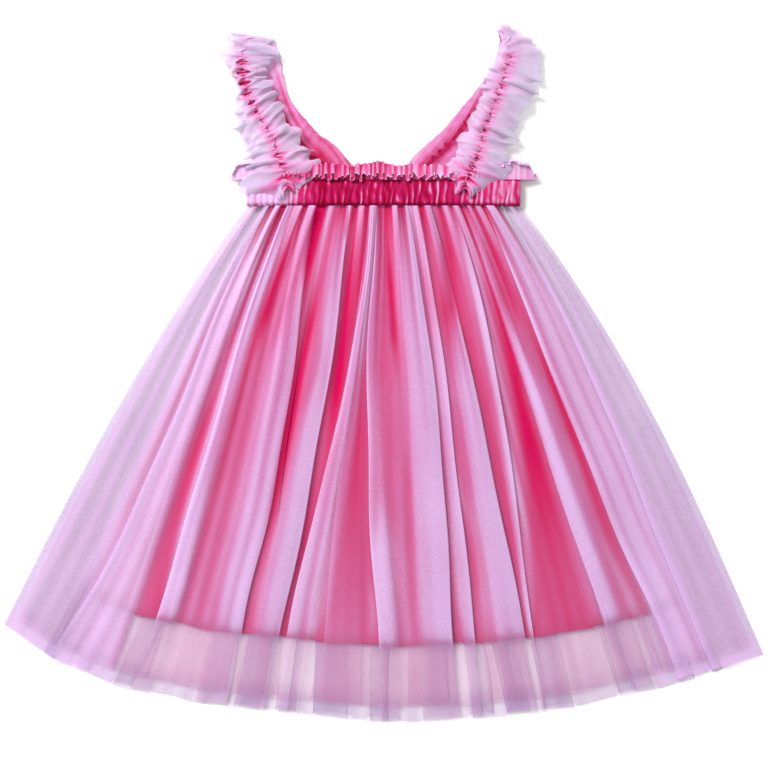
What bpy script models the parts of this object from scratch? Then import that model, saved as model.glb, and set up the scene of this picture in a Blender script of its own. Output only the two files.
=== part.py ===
"""A toddler's party dress laid flat on a table, front up, built as a maker cuts and sews it.

Metres, +Z up. The dress lies on the plane z = 0 with its shoulders towards +Y and its hem towards -Y.
The skirt is a tube of three cloths (outer tulle, inner tulle, satin lining), each a front and a back
panel. A gathered chest band with a curly heading carries it, and two ruffled straps run from the front
of the band over the shoulders to the back.
"""

from collections import namedtuple
from math import cos, pi, sin

import bmesh
import bpy
from mathutils import Vector

# ------------------------------------------------------------------ driving dimensions
SEAM_GAP = 0.0003
WALL = 0.0010

BAND_HALF_WIDTH = 0.0990
BAND_LOW = 0.1213
BAND_HIGH = 0.1406
BAND_WALL = 0.0030
BAND_BULGE = 0.0008
HEADING_HIGH = 0.1520
HEADING_SCALLOP = 0.0022
HEADING_OVERHANG = 0.0110
LEFT_BULGE = 0.0095
RIGHT_BULGE = 0.0145

LINING_LENGTH = 0.850
INNER_LENGTH = 0.975
INNER_INSET = 0.015
LINING_INSET = 0.085
RISE_WIDTH = 0.068

BACK_OUTER_Z = 0.0
BACK_INNER_Z = BACK_OUTER_Z + WALL + SEAM_GAP
BACK_LINING_Z = BACK_INNER_Z + WALL + SEAM_GAP
LINING_Z = BACK_LINING_Z + WALL + SEAM_GAP
LINING_WAVE = 0.0006
INNER_Z = LINING_Z + WALL + 2 * LINING_WAVE + SEAM_GAP
TULLE_STEP = WALL + 0.0005
OUTER_Z = INNER_Z + TULLE_STEP

BACK_BAND_Z = 0.0
FRONT_BAND_Z = BACK_BAND_Z + BAND_WALL + BAND_BULGE + 3 * SEAM_GAP
BAND_RIB = 0.0007
BAND_RIBS = 30
FRONT_HEADING_Z = 0.0048
HEADING_CURL = 0.0024

STRAP_HALF_WIDTH = 0.0045
STRAP_WALL = 0.0012
FRILL_GAP = 0.0006

# Hem: place of the outer tulle's edge, a row for each share of the way round from the left tip.
HemPoint = namedtuple("HemPoint", "share x y")
HEM = (
    HemPoint(0.000, -0.2746, -0.1806),
    HemPoint(0.070, -0.2400, -0.2040),
    HemPoint(0.150, -0.1960, -0.2235),
    HemPoint(0.260, -0.1350, -0.2370),
    HemPoint(0.380, -0.0670, -0.2440),
    HemPoint(0.500, 0.0010, -0.2508),
    HemPoint(0.620, 0.0690, -0.2480),
    HemPoint(0.740, 0.1370, -0.2400),
    HemPoint(0.850, 0.1970, -0.2260),
    HemPoint(0.930, 0.2400, -0.2140),
    HemPoint(1.000, 0.2746, -0.2016),
)

# Pleats of the front tulle: the crisp edge's place across the skirt at the band, half way and at the
# hem, the pleat's width there, which way the crisp edge faces, and its height.
Pleat = namedtuple("Pleat", "top middle hem width_top width_hem faces height")
LEFT, RIGHT = -1, 1
PLEATS = (
    Pleat(0.105, 0.108, 0.105, 0.014, 0.022, RIGHT, 0.0014),
    Pleat(0.148, 0.180, 0.172, 0.018, 0.026, LEFT, 0.0022),
    Pleat(0.258, 0.312, 0.300, 0.024, 0.055, RIGHT, 0.0028),
    Pleat(0.385, 0.383, 0.350, 0.040, 0.030, RIGHT, 0.0022),
    Pleat(0.453, 0.395, 0.362, 0.012, 0.034, LEFT, 0.0030),
    Pleat(0.480, 0.472, 0.493, 0.020, 0.030, LEFT, 0.0026),
    Pleat(0.593, 0.610, 0.600, 0.045, 0.060, RIGHT, 0.0026),
    Pleat(0.631, 0.640, 0.629, 0.012, 0.014, RIGHT, 0.0016),
    Pleat(0.688, 0.676, 0.694, 0.018, 0.022, RIGHT, 0.0020),
    Pleat(0.735, 0.724, 0.712, 0.016, 0.011, RIGHT, 0.0024),
    Pleat(0.777, 0.784, 0.822, 0.030, 0.026, LEFT, 0.0026),
    Pleat(0.860, 0.848, 0.880, 0.016, 0.030, LEFT, 0.0018),
)
CRISP_WIDTH = 0.004
SKIRT_ROWS = (0.0, 0.12, 0.30, 0.50, 0.70, 0.85, 1.0)

# Straps: the centre line from the chest band over the shoulder, which is the row of greatest y, and down
# the back, with the reach of the outer and the inner frill and how far the frills wave.
Station = namedtuple("Station", "x y z outer inner wave")
LEFT_STRAP = (
    Station(-0.0690, 0.1330, 0.0101, 0.028, 0.024, 0.0012),
    Station(-0.0725, 0.1450, 0.0100, 0.035, 0.024, 0.0018),
    Station(-0.0755, 0.1560, 0.0098, 0.017, 0.021, 0.0020),
    Station(-0.0800, 0.1700, 0.0094, 0.0165, 0.015, 0.0020),
    Station(-0.0875, 0.1820, 0.0090, 0.0115, 0.012, 0.0020),
    Station(-0.0955, 0.1960, 0.0088, 0.0100, 0.0130, 0.0020),
    Station(-0.1000, 0.2100, 0.0086, 0.0050, 0.0120, 0.0020),
    Station(-0.1020, 0.2230, 0.0082, 0.0090, 0.0145, 0.0018),
    Station(-0.1010, 0.2350, 0.0070, 0.0090, 0.0155, 0.0012),
    Station(-0.0990, 0.2430, 0.0040, 0.0080, 0.0080, 0.0006),
    Station(-0.0975, 0.2350, 0.0009, 0.0110, 0.0165, 0.0),
    Station(-0.0945, 0.2200, 0.0006, 0.0110, 0.0180, 0.0),
    Station(-0.0880, 0.2060, 0.0006, 0.0110, 0.0165, 0.0),
    Station(-0.0800, 0.1900, 0.0006, 0.0110, 0.0155, 0.0),
    Station(-0.0690, 0.1740, 0.0006, 0.0110, 0.0165, 0.0),
    Station(-0.0570, 0.1610, 0.0006, 0.0050, 0.0165, 0.0),
    Station(-0.0480, 0.1546, 0.0006, 0.0050, 0.0180, 0.0),
)
RIGHT_STRAP = (
    Station(0.0590, 0.1330, 0.0101, 0.0190, 0.0170, 0.0012),
    Station(0.0640, 0.1480, 0.0100, 0.0220, 0.0180, 0.0018),
    Station(0.0695, 0.1600, 0.0098, 0.0150, 0.0180, 0.0020),
    Station(0.0715, 0.1720, 0.0094, 0.0150, 0.0140, 0.0020),
    Station(0.0755, 0.1830, 0.0090, 0.0230, 0.0110, 0.0020),
    Station(0.0810, 0.1950, 0.0088, 0.0170, 0.0120, 0.0020),
    Station(0.0850, 0.2080, 0.0086, 0.0260, 0.0130, 0.0020),
    Station(0.0885, 0.2180, 0.0082, 0.0180, 0.0120, 0.0018),
    Station(0.0915, 0.2280, 0.0074, 0.0200, 0.0105, 0.0014),
    Station(0.0915, 0.2400, 0.0064, 0.0150, 0.0070, 0.0010),
    Station(0.0890, 0.2502, 0.0040, 0.0040, 0.0030, 0.0006),
    Station(0.0895, 0.2400, 0.0009, 0.0100, 0.0055, 0.0),
    Station(0.0870, 0.2270, 0.0006, 0.0110, 0.0055, 0.0),
    Station(0.0820, 0.2140, 0.0006, 0.0110, 0.0060, 0.0),
    Station(0.0735, 0.2000, 0.0006, 0.0110, 0.0065, 0.0),
    Station(0.0630, 0.1850, 0.0006, 0.0110, 0.0075, 0.0),
    Station(0.0500, 0.1690, 0.0006, 0.0090, 0.0085, 0.0),
    Station(0.0350, 0.1546, 0.0006, 0.0050, 0.0100, 0.0),
)
FRILL_STEPS = 2

# ------------------------------------------------------------------ cloths
Cloth = namedtuple("Cloth", "name colour roughness")
TULLE = Cloth("tulle", (0.72, 0.42, 0.66, 1.0), 0.85)
SATIN = Cloth("satin", (0.58, 0.002, 0.08, 1.0), 0.45)
RIB = Cloth("gathered_tulle", (0.62, 0.06, 0.24, 1.0), 0.75)
RUFFLE = Cloth("ruffle_tulle", (0.74, 0.44, 0.68, 1.0), 0.85)


def cloth_material(cloth):
    """The cloth's material, made once and shared by its pieces."""
    material = bpy.data.materials.get(cloth.name)
    if material is None:
        material = bpy.data.materials.new(cloth.name)
        material.use_nodes = True
        shader = material.node_tree.nodes["Principled BSDF"]
        shader.inputs["Base Color"].default_value = cloth.colour
        shader.inputs["Roughness"].default_value = cloth.roughness
        shader.inputs["Metallic"].default_value = 0.0
    return material


# ------------------------------------------------------------------ sheets and walls
def sheet(name, cloth, columns, rows, place):
    """An open grid of cloth: place(column, row) gives the point at each crossing."""
    mesh = bpy.data.meshes.new(name)
    grid = bmesh.new()
    bmesh.ops.create_grid(grid, x_segments=columns, y_segments=rows, size=1.0)
    for point in grid.verts:
        column = round((point.co.x + 1) / 2 * columns)
        row = round((point.co.y + 1) / 2 * rows)
        point.co = place(column, row)
    grid.to_mesh(mesh)
    grid.free()
    piece = bpy.data.objects.new(name, mesh)
    bpy.context.collection.objects.link(piece)
    mesh.materials.append(cloth_material(cloth))
    return piece


def close_outwards(mesh, drop):
    """Extrudes the sheet by drop, a vector, and turns the closed wall's faces outwards."""
    wall = bmesh.new()
    wall.from_mesh(mesh)
    grown = bmesh.ops.extrude_face_region(wall, geom=wall.faces[:], use_keep_orig=True)
    moved = [item for item in grown["geom"] if isinstance(item, bmesh.types.BMVert)]
    bmesh.ops.translate(wall, verts=moved, vec=drop)
    bmesh.ops.triangulate(wall, faces=wall.faces[:])
    bmesh.ops.recalc_face_normals(wall, faces=wall.faces[:])
    wall.to_mesh(mesh)
    wall.free()


def flat_wall(name, cloth, columns, rows, place, thickness=WALL):
    """A cloth wall of even height: place gives its underside, and its top lies thickness above."""
    piece = sheet(name, cloth, columns, rows, place)
    close_outwards(piece.data, Vector((0.0, 0.0, thickness)))
    return piece


def turned_wall(name, cloth, columns, rows, place, thickness):
    """A cloth wall about a sheet that folds over itself, half its thickness on each side."""
    piece = sheet(name, cloth, columns, rows, place)
    solidify = piece.modifiers.new("thickness", "SOLIDIFY")
    solidify.thickness = thickness
    solidify.offset = 0.0
    solidify.use_even_offset = False
    return piece


# ------------------------------------------------------------------ the skirt's outline
def between(low, high, share):
    return low + (high - low) * share


def hem_point(across):
    """The hem's place at a share across the skirt, straight between the table's rows."""
    for left, right in zip(HEM, HEM[1:]):
        if across <= right.share:
            share = (across - left.share) / (right.share - left.share)
            return Vector((between(left.x, right.x, share), between(left.y, right.y, share)))
    return Vector((HEM[-1].x, HEM[-1].y))


def skirt_point(across, down, z):
    """A point of the skirt: across from 0 at the left side to 1, down from 0 at the band to 1."""
    top = Vector((BAND_HALF_WIDTH * (2 * across - 1), BAND_LOW - SEAM_GAP))
    flat = top.lerp(hem_point(across), down)
    side_bulge = RIGHT_BULGE if across > 0.5 else LEFT_BULGE
    bulge = side_bulge * (2 * across - 1) * sin(pi * down**0.8)
    return Vector((flat.x + bulge, flat.y, z))


def rise(across, inset):
    """0 at a front panel's side edge, where it meets the back, and 1 where the panels below are full."""
    edge = min(across, 1 - across) - inset
    return max(0.0, min(1.0, edge / (RISE_WIDTH - inset)))


# ------------------------------------------------------------------ pleated front panels
def pleat_edge(pleat, down):
    if down < 0.5:
        return between(pleat.top, pleat.middle, down / 0.5)
    return between(pleat.middle, pleat.hem, (down - 0.5) / 0.5)


def pleat_columns(pleat, down):
    """Four (across, height) pairs from left to right: a long slope up to the pleat's crisp edge."""
    edge = pleat_edge(pleat, down)
    width = between(pleat.width_top, pleat.width_hem, down)
    slope = [
        (edge - pleat.faces * width, 0.0),
        (edge - pleat.faces * 0.5 * width, 0.8 * pleat.height),
        (edge, pleat.height),
        (edge + pleat.faces * CRISP_WIDTH, 0.0),
    ]
    return slope if pleat.faces == RIGHT else slope[::-1]


def front_columns(down, inset):
    """The (across, height) pairs of a front panel's columns at a row."""
    columns = [(inset, 0.0), (max(inset, 0.04), 0.0), (RISE_WIDTH, 0.0)]
    for pleat in PLEATS:
        columns += pleat_columns(pleat, down)
    return columns + [(1 - RISE_WIDTH, 0.0), (1 - max(inset, 0.04), 0.0), (1 - inset, 0.0)]


def pleated_panel(name, length, inset, side_z, full_z):
    """A front tulle panel with the pleats' form, seated on the back panels along its sides."""
    count = len(front_columns(0.0, inset)) - 1

    def place(column, row):
        down = min(SKIRT_ROWS[row], length)
        across, height = front_columns(down, inset)[column]
        base = between(side_z, full_z, rise(across, inset))
        return skirt_point(across, down, base + height)

    return flat_wall(name, TULLE, count, len(SKIRT_ROWS) - 1, place)


def plain_panel(name, cloth, length, inset, low_z, wave=0.0):
    """A panel that lies flat, or in soft waves that run down the skirt."""
    columns = 24 if wave else 12
    rows = 4

    def place(column, row):
        across = between(inset, 1 - inset, column / columns)
        down = length * row / rows
        swell = wave * (1 - cos(column * 2 * pi / 3)) / 1.5
        return skirt_point(across, down, low_z + swell)

    return flat_wall(name, cloth, columns, rows, place)


def build_skirt():
    plain_panel("tulle_skirt_back", TULLE, 1.0, 0.0, BACK_OUTER_Z)
    plain_panel("inner_tulle_back", TULLE, INNER_LENGTH, INNER_INSET, BACK_INNER_Z)
    plain_panel("lining_back", SATIN, LINING_LENGTH, LINING_INSET, BACK_LINING_Z)
    plain_panel("lining_front", SATIN, LINING_LENGTH, LINING_INSET, LINING_Z, LINING_WAVE)
    inner_side_z = BACK_INNER_Z + WALL + SEAM_GAP
    outer_side_z = BACK_OUTER_Z + WALL + SEAM_GAP
    pleated_panel("inner_tulle_front", INNER_LENGTH, INNER_INSET, inner_side_z, INNER_Z)
    outer_front(outer_side_z, inner_side_z + TULLE_STEP)


def outer_front(side_z, over_inner_z):
    """The outer front panel: it meets the back panel at its side edges and lies on the inner one."""
    inner_columns = len(front_columns(0.0, INNER_INSET))

    def place(column, row):
        down = SKIRT_ROWS[row]
        if column == 0:
            return skirt_point(0.0, down, side_z)
        if column == inner_columns + 1:
            return skirt_point(1.0, down, side_z)
        across, height = front_columns(down, INNER_INSET)[column - 1]
        base = between(over_inner_z, OUTER_Z, rise(across, INNER_INSET))
        return skirt_point(across, down, base + height)

    flat_wall("tulle_skirt_front", TULLE, inner_columns + 1, len(SKIRT_ROWS) - 1, place)


# ------------------------------------------------------------------ the chest band and its heading
def gathered_band(name, low_z, rib, bulge_side):
    """One side of the elastic band: a thick wall in upright ribs, fuller half way up."""
    columns = 2 * BAND_RIBS
    heights = (BAND_LOW, (BAND_LOW + BAND_HIGH) / 2, BAND_HIGH)

    def place(column, row):
        across = between(-BAND_HALF_WIDTH, BAND_HALF_WIDTH, column / columns)
        z = low_z + rib * (column % 2) + bulge_side * (row == 1)
        return Vector((across, heights[row], z))

    return flat_wall(name, RIB, columns, len(heights) - 1, place, BAND_WALL)


def curly_heading(name, low_z, curl, waves):
    """The narrow frill that stands above the band: its free edge scallops and curls."""
    columns = 2 * waves
    rows = 2

    def place(column, row):
        share = row / rows
        side = 2 * column / columns - 1
        width = BAND_HALF_WIDTH + HEADING_OVERHANG * share
        high = HEADING_HIGH + HEADING_SCALLOP * (1 - 2 * (column % 2))
        y = between(BAND_HIGH + SEAM_GAP, high, share)
        return Vector((side * width, y, low_z + curl * share * (column % 2)))

    return flat_wall(name, RUFFLE, columns, rows, place)


def build_band():
    gathered_band("band_back", BACK_BAND_Z, 0.0, 0.0)
    gathered_band("band_front", FRONT_BAND_Z, BAND_RIB, BAND_BULGE)
    curly_heading("heading_back", BACK_BAND_Z, 0.0, 8)
    curly_heading("heading_front", FRONT_HEADING_Z, HEADING_CURL, 26)


# ------------------------------------------------------------------ the ruffled straps
def shoulder(stations):
    """The row where a strap turns over from the front to the back."""
    return max(range(len(stations)), key=lambda row: stations[row].y)


def up_direction(stations, index):
    """The way towards the shoulder at a station; the sewn ends and the shoulder fold lie square."""
    fold = shoulder(stations)
    if index in (0, fold, len(stations) - 1):
        return Vector((0.0, 1.0))
    if index < fold:
        low, high = index - 1, min(index + 1, fold - 1)
    else:
        low, high = index + 1, max(index - 1, fold + 1)
    return Vector((stations[high].x - stations[low].x, stations[high].y - stations[low].y)).normalized()


def outward(stations, index, side):
    """The level direction away from the neck at a station."""
    up = up_direction(stations, index)
    return Vector((side * up.y, -side * up.x, 0.0))


def strap_ribbon(name, cloth, stations, side, reach, steps=1, rows=1):
    """A ribbon along the strap: reach(station) gives how far out its two long edges lie."""
    columns = (len(stations) - 1) * steps

    def place(column, row):
        index = min(column // steps, len(stations) - 2)
        share = column / steps - index
        here, after = stations[index], stations[index + 1]
        centre = Vector((here.x, here.y, here.z)).lerp(Vector((after.x, after.y, after.z)), share)
        out = outward(stations, index, side).lerp(outward(stations, index + 1, side), share).normalized()
        (near, far), (near_after, far_after) = reach(here), reach(after)
        edge = between(between(near, near_after, share), between(far, far_after, share), row / rows)
        lift = between(here.wave, after.wave, share) * (row / rows) * (column % steps)
        return centre + out * edge + Vector((0.0, 0.0, lift))

    return turned_wall(name, cloth, columns, rows, place, STRAP_WALL)


def build_strap(word, side, stations):
    start = STRAP_HALF_WIDTH + FRILL_GAP

    def core(_station):
        return -STRAP_HALF_WIDTH, STRAP_HALF_WIDTH

    def outer(station):
        return start, STRAP_HALF_WIDTH + station.outer

    def inner(station):
        return -start, -STRAP_HALF_WIDTH - station.inner

    strap_ribbon("strap_" + word, RIB, stations, side, core)
    strap_ribbon("outer_frill_" + word, RUFFLE, stations, side, outer, FRILL_STEPS, 2)
    strap_ribbon("inner_frill_" + word, RUFFLE, stations, side, inner, FRILL_STEPS, 2)


def clear_scene():
    for item in list(bpy.data.objects):
        bpy.data.objects.remove(item, do_unlink=True)


def main():
    clear_scene()
    build_skirt()
    build_band()
    build_strap("left", LEFT, LEFT_STRAP)
    build_strap("right", RIGHT, RIGHT_STRAP)


main()
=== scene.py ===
"""A toddler's tulle party dress, laid flat with its front up, in a plain pale studio.

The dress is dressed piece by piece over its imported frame, from the table upwards: the back of the
skirt, the satin lining, the front of the skirt in pleats, the shirred chest band with its curly
heading, and the ruffled straps that turn over at the shoulders. Lengths are metres in the frame's
own axes: +X across the dress, +Y towards the shoulders, +Z up from the table.
"""

from __future__ import annotations

import logging
import math
from dataclasses import dataclass
from enum import Enum
from typing import Mapping, Sequence

import bpy
import numpy as np
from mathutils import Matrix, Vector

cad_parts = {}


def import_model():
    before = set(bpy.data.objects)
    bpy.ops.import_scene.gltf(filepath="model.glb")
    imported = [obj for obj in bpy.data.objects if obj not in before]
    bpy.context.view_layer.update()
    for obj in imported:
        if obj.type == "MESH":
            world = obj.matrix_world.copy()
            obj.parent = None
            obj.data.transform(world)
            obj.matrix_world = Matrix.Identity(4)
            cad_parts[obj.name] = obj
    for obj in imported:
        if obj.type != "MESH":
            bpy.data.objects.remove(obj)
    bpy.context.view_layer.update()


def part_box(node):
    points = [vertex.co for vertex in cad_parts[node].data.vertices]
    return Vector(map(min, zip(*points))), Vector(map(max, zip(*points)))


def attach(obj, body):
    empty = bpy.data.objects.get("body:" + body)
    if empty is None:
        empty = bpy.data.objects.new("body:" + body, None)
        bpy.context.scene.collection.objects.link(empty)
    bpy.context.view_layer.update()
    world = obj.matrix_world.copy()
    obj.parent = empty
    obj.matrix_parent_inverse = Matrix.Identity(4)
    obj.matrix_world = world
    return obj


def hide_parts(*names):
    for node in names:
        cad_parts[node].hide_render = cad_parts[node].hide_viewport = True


LOG = logging.getLogger("party_dress")
MM = 0.001
ROOT = "root"
GATHER = "gather"
GLOW = "glow"
PALENESS = "paleness"
SKIRT_LENGTH = 365 * MM
TINY = 1e-12

Array = np.ndarray


# ---------------------------------------------------------------------------------------- options
class Facing(Enum):
    """Which way a pleat's crisp edge looks."""

    LEFT = -1
    RIGHT = 1


class Face(Enum):
    """Which half of the skirt a panel belongs to."""

    BACK = "back"
    FRONT = "front"


class Side(Enum):
    """Which strap a piece belongs to, as seen from above."""

    LEFT = -1
    RIGHT = 1

    @property
    def word(self) -> str:
        """The side's name in node names."""
        return self.name.lower()


class Edge(Enum):
    """Which edge of a strap a frill is sewn to: away from the neck, or towards it."""

    OUTER = 1
    INNER = -1

    @property
    def word(self) -> str:
        """The edge's name in node names."""
        return self.name.lower()


# ---------------------------------------------------------------------------------------- numbers
def smoothstep(value: Array | float) -> Array | float:
    """Ease from 0 to 1 as value goes from 0 to 1, flat outside."""
    held = np.clip(value, 0.0, 1.0)
    return held * held * (3.0 - 2.0 * held)


def between(low: Array | float, high: Array | float, share: Array | float) -> Array | float:
    """The value a share of the way from low to high."""
    return low + (high - low) * share


@dataclass(frozen=True)
class Wander:
    """A smooth seeded unevenness: a few sines of unlike length, about -1 to 1.

    Args:
        seed: Picks the sines' phases.
        length: The middle wave's length, in the units of the coordinate.
        waves: How many sines are added.
    """

    seed: int
    length: float
    waves: int = 4

    def at(self, along: Array, across: Array | float = 0.0) -> Array:
        """Read the unevenness.

        Args:
            along: Where, in the same units as length.
            across: A second coordinate, which shifts the pattern slowly.

        Returns:
            One value for each entry.
        """
        dice = np.random.default_rng(self.seed)
        total = np.zeros(np.broadcast(along, across).shape)
        for number in range(self.waves):
            stretch = 0.55 + 1.15 * dice.random() + 0.25 * number
            phase = 2 * math.pi * dice.random()
            drift = 2 * math.pi * (dice.random() - 0.5)
            total = total + np.sin(2 * math.pi * stretch * along / self.length + phase + drift * across)
        return total / math.sqrt(2.0 * self.waves)


@dataclass(frozen=True)
class Knots:
    """A size that changes smoothly down the skirt: at the band, a third, two thirds, and the hem."""

    band: float
    upper: float
    lower: float
    hem: float

    def at(self, down: Array | float) -> Array | float:
        """Read the size on the cubic through the four values.

        Args:
            down: The share of the way down.

        Returns:
            The size there.
        """
        a, b, c = down, down - 1 / 3, down - 2 / 3
        d = down - 1.0
        return (
            -4.5 * self.band * b * c * d
            + 13.5 * self.upper * a * c * d
            - 13.5 * self.lower * a * b * d
            + 4.5 * self.hem * a * b * c
        )


# ---------------------------------------------------------------------------------------- finishes
def linear(colour: str) -> tuple[float, float, float, float]:
    """Turn an sRGB colour to linear light.

    Args:
        colour: The sRGB hex colour, such as "C81050".

    Returns:
        Linear red, green, blue and alpha.
    """
    parts = [int(colour[start : start + 2], 16) / 255 for start in (0, 2, 4)]
    flat = [part / 12.92 if part <= 0.04045 else ((part + 0.055) / 1.055) ** 2.4 for part in parts]
    return (flat[0], flat[1], flat[2], 1.0)


def add_node(
    tree: bpy.types.NodeTree,
    kind: str,
    settings: Mapping[str | int, object] | None = None,
    links: Mapping[str | int, bpy.types.NodeSocket] | None = None,
) -> bpy.types.Node:
    """Add a shader node.

    Args:
        tree: The material's node tree.
        kind: The node's type name.
        settings: Property names, and input socket names or numbers, with their values.
        links: Input socket names or numbers with the sockets that feed them.

    Returns:
        The new node.
    """
    node = tree.nodes.new(kind)
    for name, value in (settings or {}).items():
        if isinstance(name, int) or name in node.inputs:
            node.inputs[name].default_value = value
        else:
            setattr(node, name, value)
    for name, source in (links or {}).items():
        tree.links.new(source, node.inputs[name])
    return node


def plain_material(
    name: str, finish: Mapping[str, object]
) -> tuple[bpy.types.Material, bpy.types.NodeTree, bpy.types.Node]:
    """Start a material whose Principled shader has a plain finish.

    Args:
        name: The material's name.
        finish: The shader's input names with their values.

    Returns:
        The material, its node tree and its shader.
    """
    material = bpy.data.materials.new(name)
    material.use_nodes = True
    tree = material.node_tree
    shader = tree.nodes["Principled BSDF"]
    for socket, value in finish.items():
        shader.inputs[socket].default_value = value
    return material, tree, shader


@dataclass(frozen=True)
class Tulle:
    """Soft nylon tulle: a sheer haze where it lies single, milky where its threads heap up.

    Nylon's fine round threads scatter light, so the net has a soft fuzz and no highlight. Each
    layer hides a little of what is under it, more where it is gathered.

    Args:
        name: The material's name.
        thread: The net's colour where it lies flat.
        bunched: The net's colour where many threads lie together.
        glowing: The flat net's colour where light from the lining falls on it from below.
        cover: The share of a flat single layer that its threads hide.
    """

    name: str
    thread: str
    bunched: str
    glowing: str
    cover: float

    HOLE = 1.1 * MM
    CLOUD = 38 * MM
    FEW_THREADS = 2.8
    MANY_THREADS = 6.0

    def material(self) -> bpy.types.Material:
        """Build the net's material, whose opacity and colour follow the gather attribute.

        Returns:
            The material.
        """
        finish = {
            "Roughness": 0.75,
            "Specular IOR Level": 0.25,
            "Sheen Weight": 0.25,
            "Sheen Roughness": 0.45,
            "Sheen Tint": linear("F2DDF4"),
        }
        material, tree, shader = plain_material(self.name, finish)
        gather = add_node(tree, "ShaderNodeAttribute", {"attribute_name": GATHER}).outputs["Fac"]
        tree.links.new(self.opacity(tree, gather), shader.inputs["Alpha"])
        tree.links.new(self.colour(tree, gather), shader.inputs["Base Color"])
        return material

    def opacity(self, tree: bpy.types.NodeTree, gather: bpy.types.NodeSocket) -> bpy.types.NodeSocket:
        """Work out how much the net hides: each thread hides the same share of what is left.

        Args:
            tree: The material's node tree.
            gather: How many threads lie where one would.

        Returns:
            The opacity.
        """
        place = add_node(tree, "ShaderNodeTexCoord").outputs["Object"]
        holes = add_node(tree, "ShaderNodeTexVoronoi", {"Scale": 1 / self.HOLE}, {"Vector": place})
        cloud = add_node(
            tree, "ShaderNodeTexNoise", {"Scale": 1 / self.CLOUD, "Detail": 3.0}, {"Vector": place}
        )
        meshed = add_node(
            tree,
            "ShaderNodeMath",
            {"operation": "MULTIPLY_ADD", 1: 0.5, 2: 0.72},
            {0: holes.outputs["Distance"]},
        )
        clouded = add_node(
            tree,
            "ShaderNodeMath",
            {"operation": "MULTIPLY_ADD", 1: 0.5, 2: 0.75},
            {0: cloud.outputs["Fac"]},
        )
        times = {"operation": "MULTIPLY"}
        threads = add_node(tree, "ShaderNodeMath", times, {0: gather, 1: meshed.outputs[0]})
        threads = add_node(tree, "ShaderNodeMath", times, {0: threads.outputs[0], 1: clouded.outputs[0]})
        clear = add_node(
            tree, "ShaderNodeMath", {"operation": "POWER", 0: 1.0 - self.cover}, {1: threads.outputs[0]}
        )
        hidden = add_node(
            tree, "ShaderNodeMath", {"operation": "SUBTRACT", 0: 1.0}, {1: clear.outputs[0]}
        )
        return hidden.outputs[0]

    def colour(self, tree: bpy.types.NodeTree, gather: bpy.types.NodeSocket) -> bpy.types.NodeSocket:
        """Work out the net's colour, warmer over the lining and clearer where threads heap up.

        Args:
            tree: The material's node tree.
            gather: How many threads lie where one would.

        Returns:
            The colour.
        """
        glow = add_node(tree, "ShaderNodeAttribute", {"attribute_name": GLOW})
        flat = add_node(
            tree,
            "ShaderNodeMix",
            {"data_type": "RGBA", 6: linear(self.thread), 7: linear(self.glowing)},
            {0: glow.outputs["Fac"]},
        )
        bunching = add_node(
            tree,
            "ShaderNodeMapRange",
            {"From Min": self.FEW_THREADS, "From Max": self.MANY_THREADS},
            {"Value": gather},
        )
        colour = add_node(
            tree,
            "ShaderNodeMix",
            {"data_type": "RGBA", 7: linear(self.bunched)},
            {0: bunching.outputs["Result"], 6: flat.outputs[2]},
        )
        return colour.outputs[2]


@dataclass(frozen=True)
class Satin:
    """Woven polyester satin: opaque, with a soft low sheen and slightly uneven dye.

    Args:
        name: The material's name.
        face: The satin's colour.
        deep: Its colour in the patches that took more dye.
    """

    name: str
    face: str
    deep: str

    # The real weave's repeat is about 0.1 mm, too fine to show, so it is drawn coarser.
    WEAVE_PITCH = 0.45 * MM
    WEAVE_RELIEF = 0.06 * MM
    DYE_PATCH = 30 * MM

    def material(self) -> bpy.types.Material:
        """Build the satin's material.

        Returns:
            The material.
        """
        finish = {
            "Roughness": 0.45,
            "Specular IOR Level": 0.12,
            "Specular Tint": linear("FF7AB4"),
        }
        material, tree, shader = plain_material(self.name, finish)
        place = add_node(tree, "ShaderNodeTexCoord").outputs["Object"]
        dye = add_node(
            tree, "ShaderNodeTexNoise", {"Scale": 1 / self.DYE_PATCH, "Detail": 4.0}, {"Vector": place}
        )
        colour = add_node(
            tree,
            "ShaderNodeMix",
            {"data_type": "RGBA", 6: linear(self.face), 7: linear(self.deep)},
            {0: dye.outputs["Fac"]},
        )
        tree.links.new(colour.outputs[2], shader.inputs["Base Color"])
        weave = add_node(
            tree,
            "ShaderNodeTexWave",
            {"Scale": 0.16 / self.WEAVE_PITCH, "Distortion": 1.5, "Detail": 2.0},
            {"Vector": place},
        )
        relief = {"Strength": 0.2, "Distance": self.WEAVE_RELIEF}
        bump = add_node(tree, "ShaderNodeBump", relief, {"Height": weave.outputs["Fac"]})
        tree.links.new(bump.outputs["Normal"], shader.inputs["Normal"])
        return material


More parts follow.
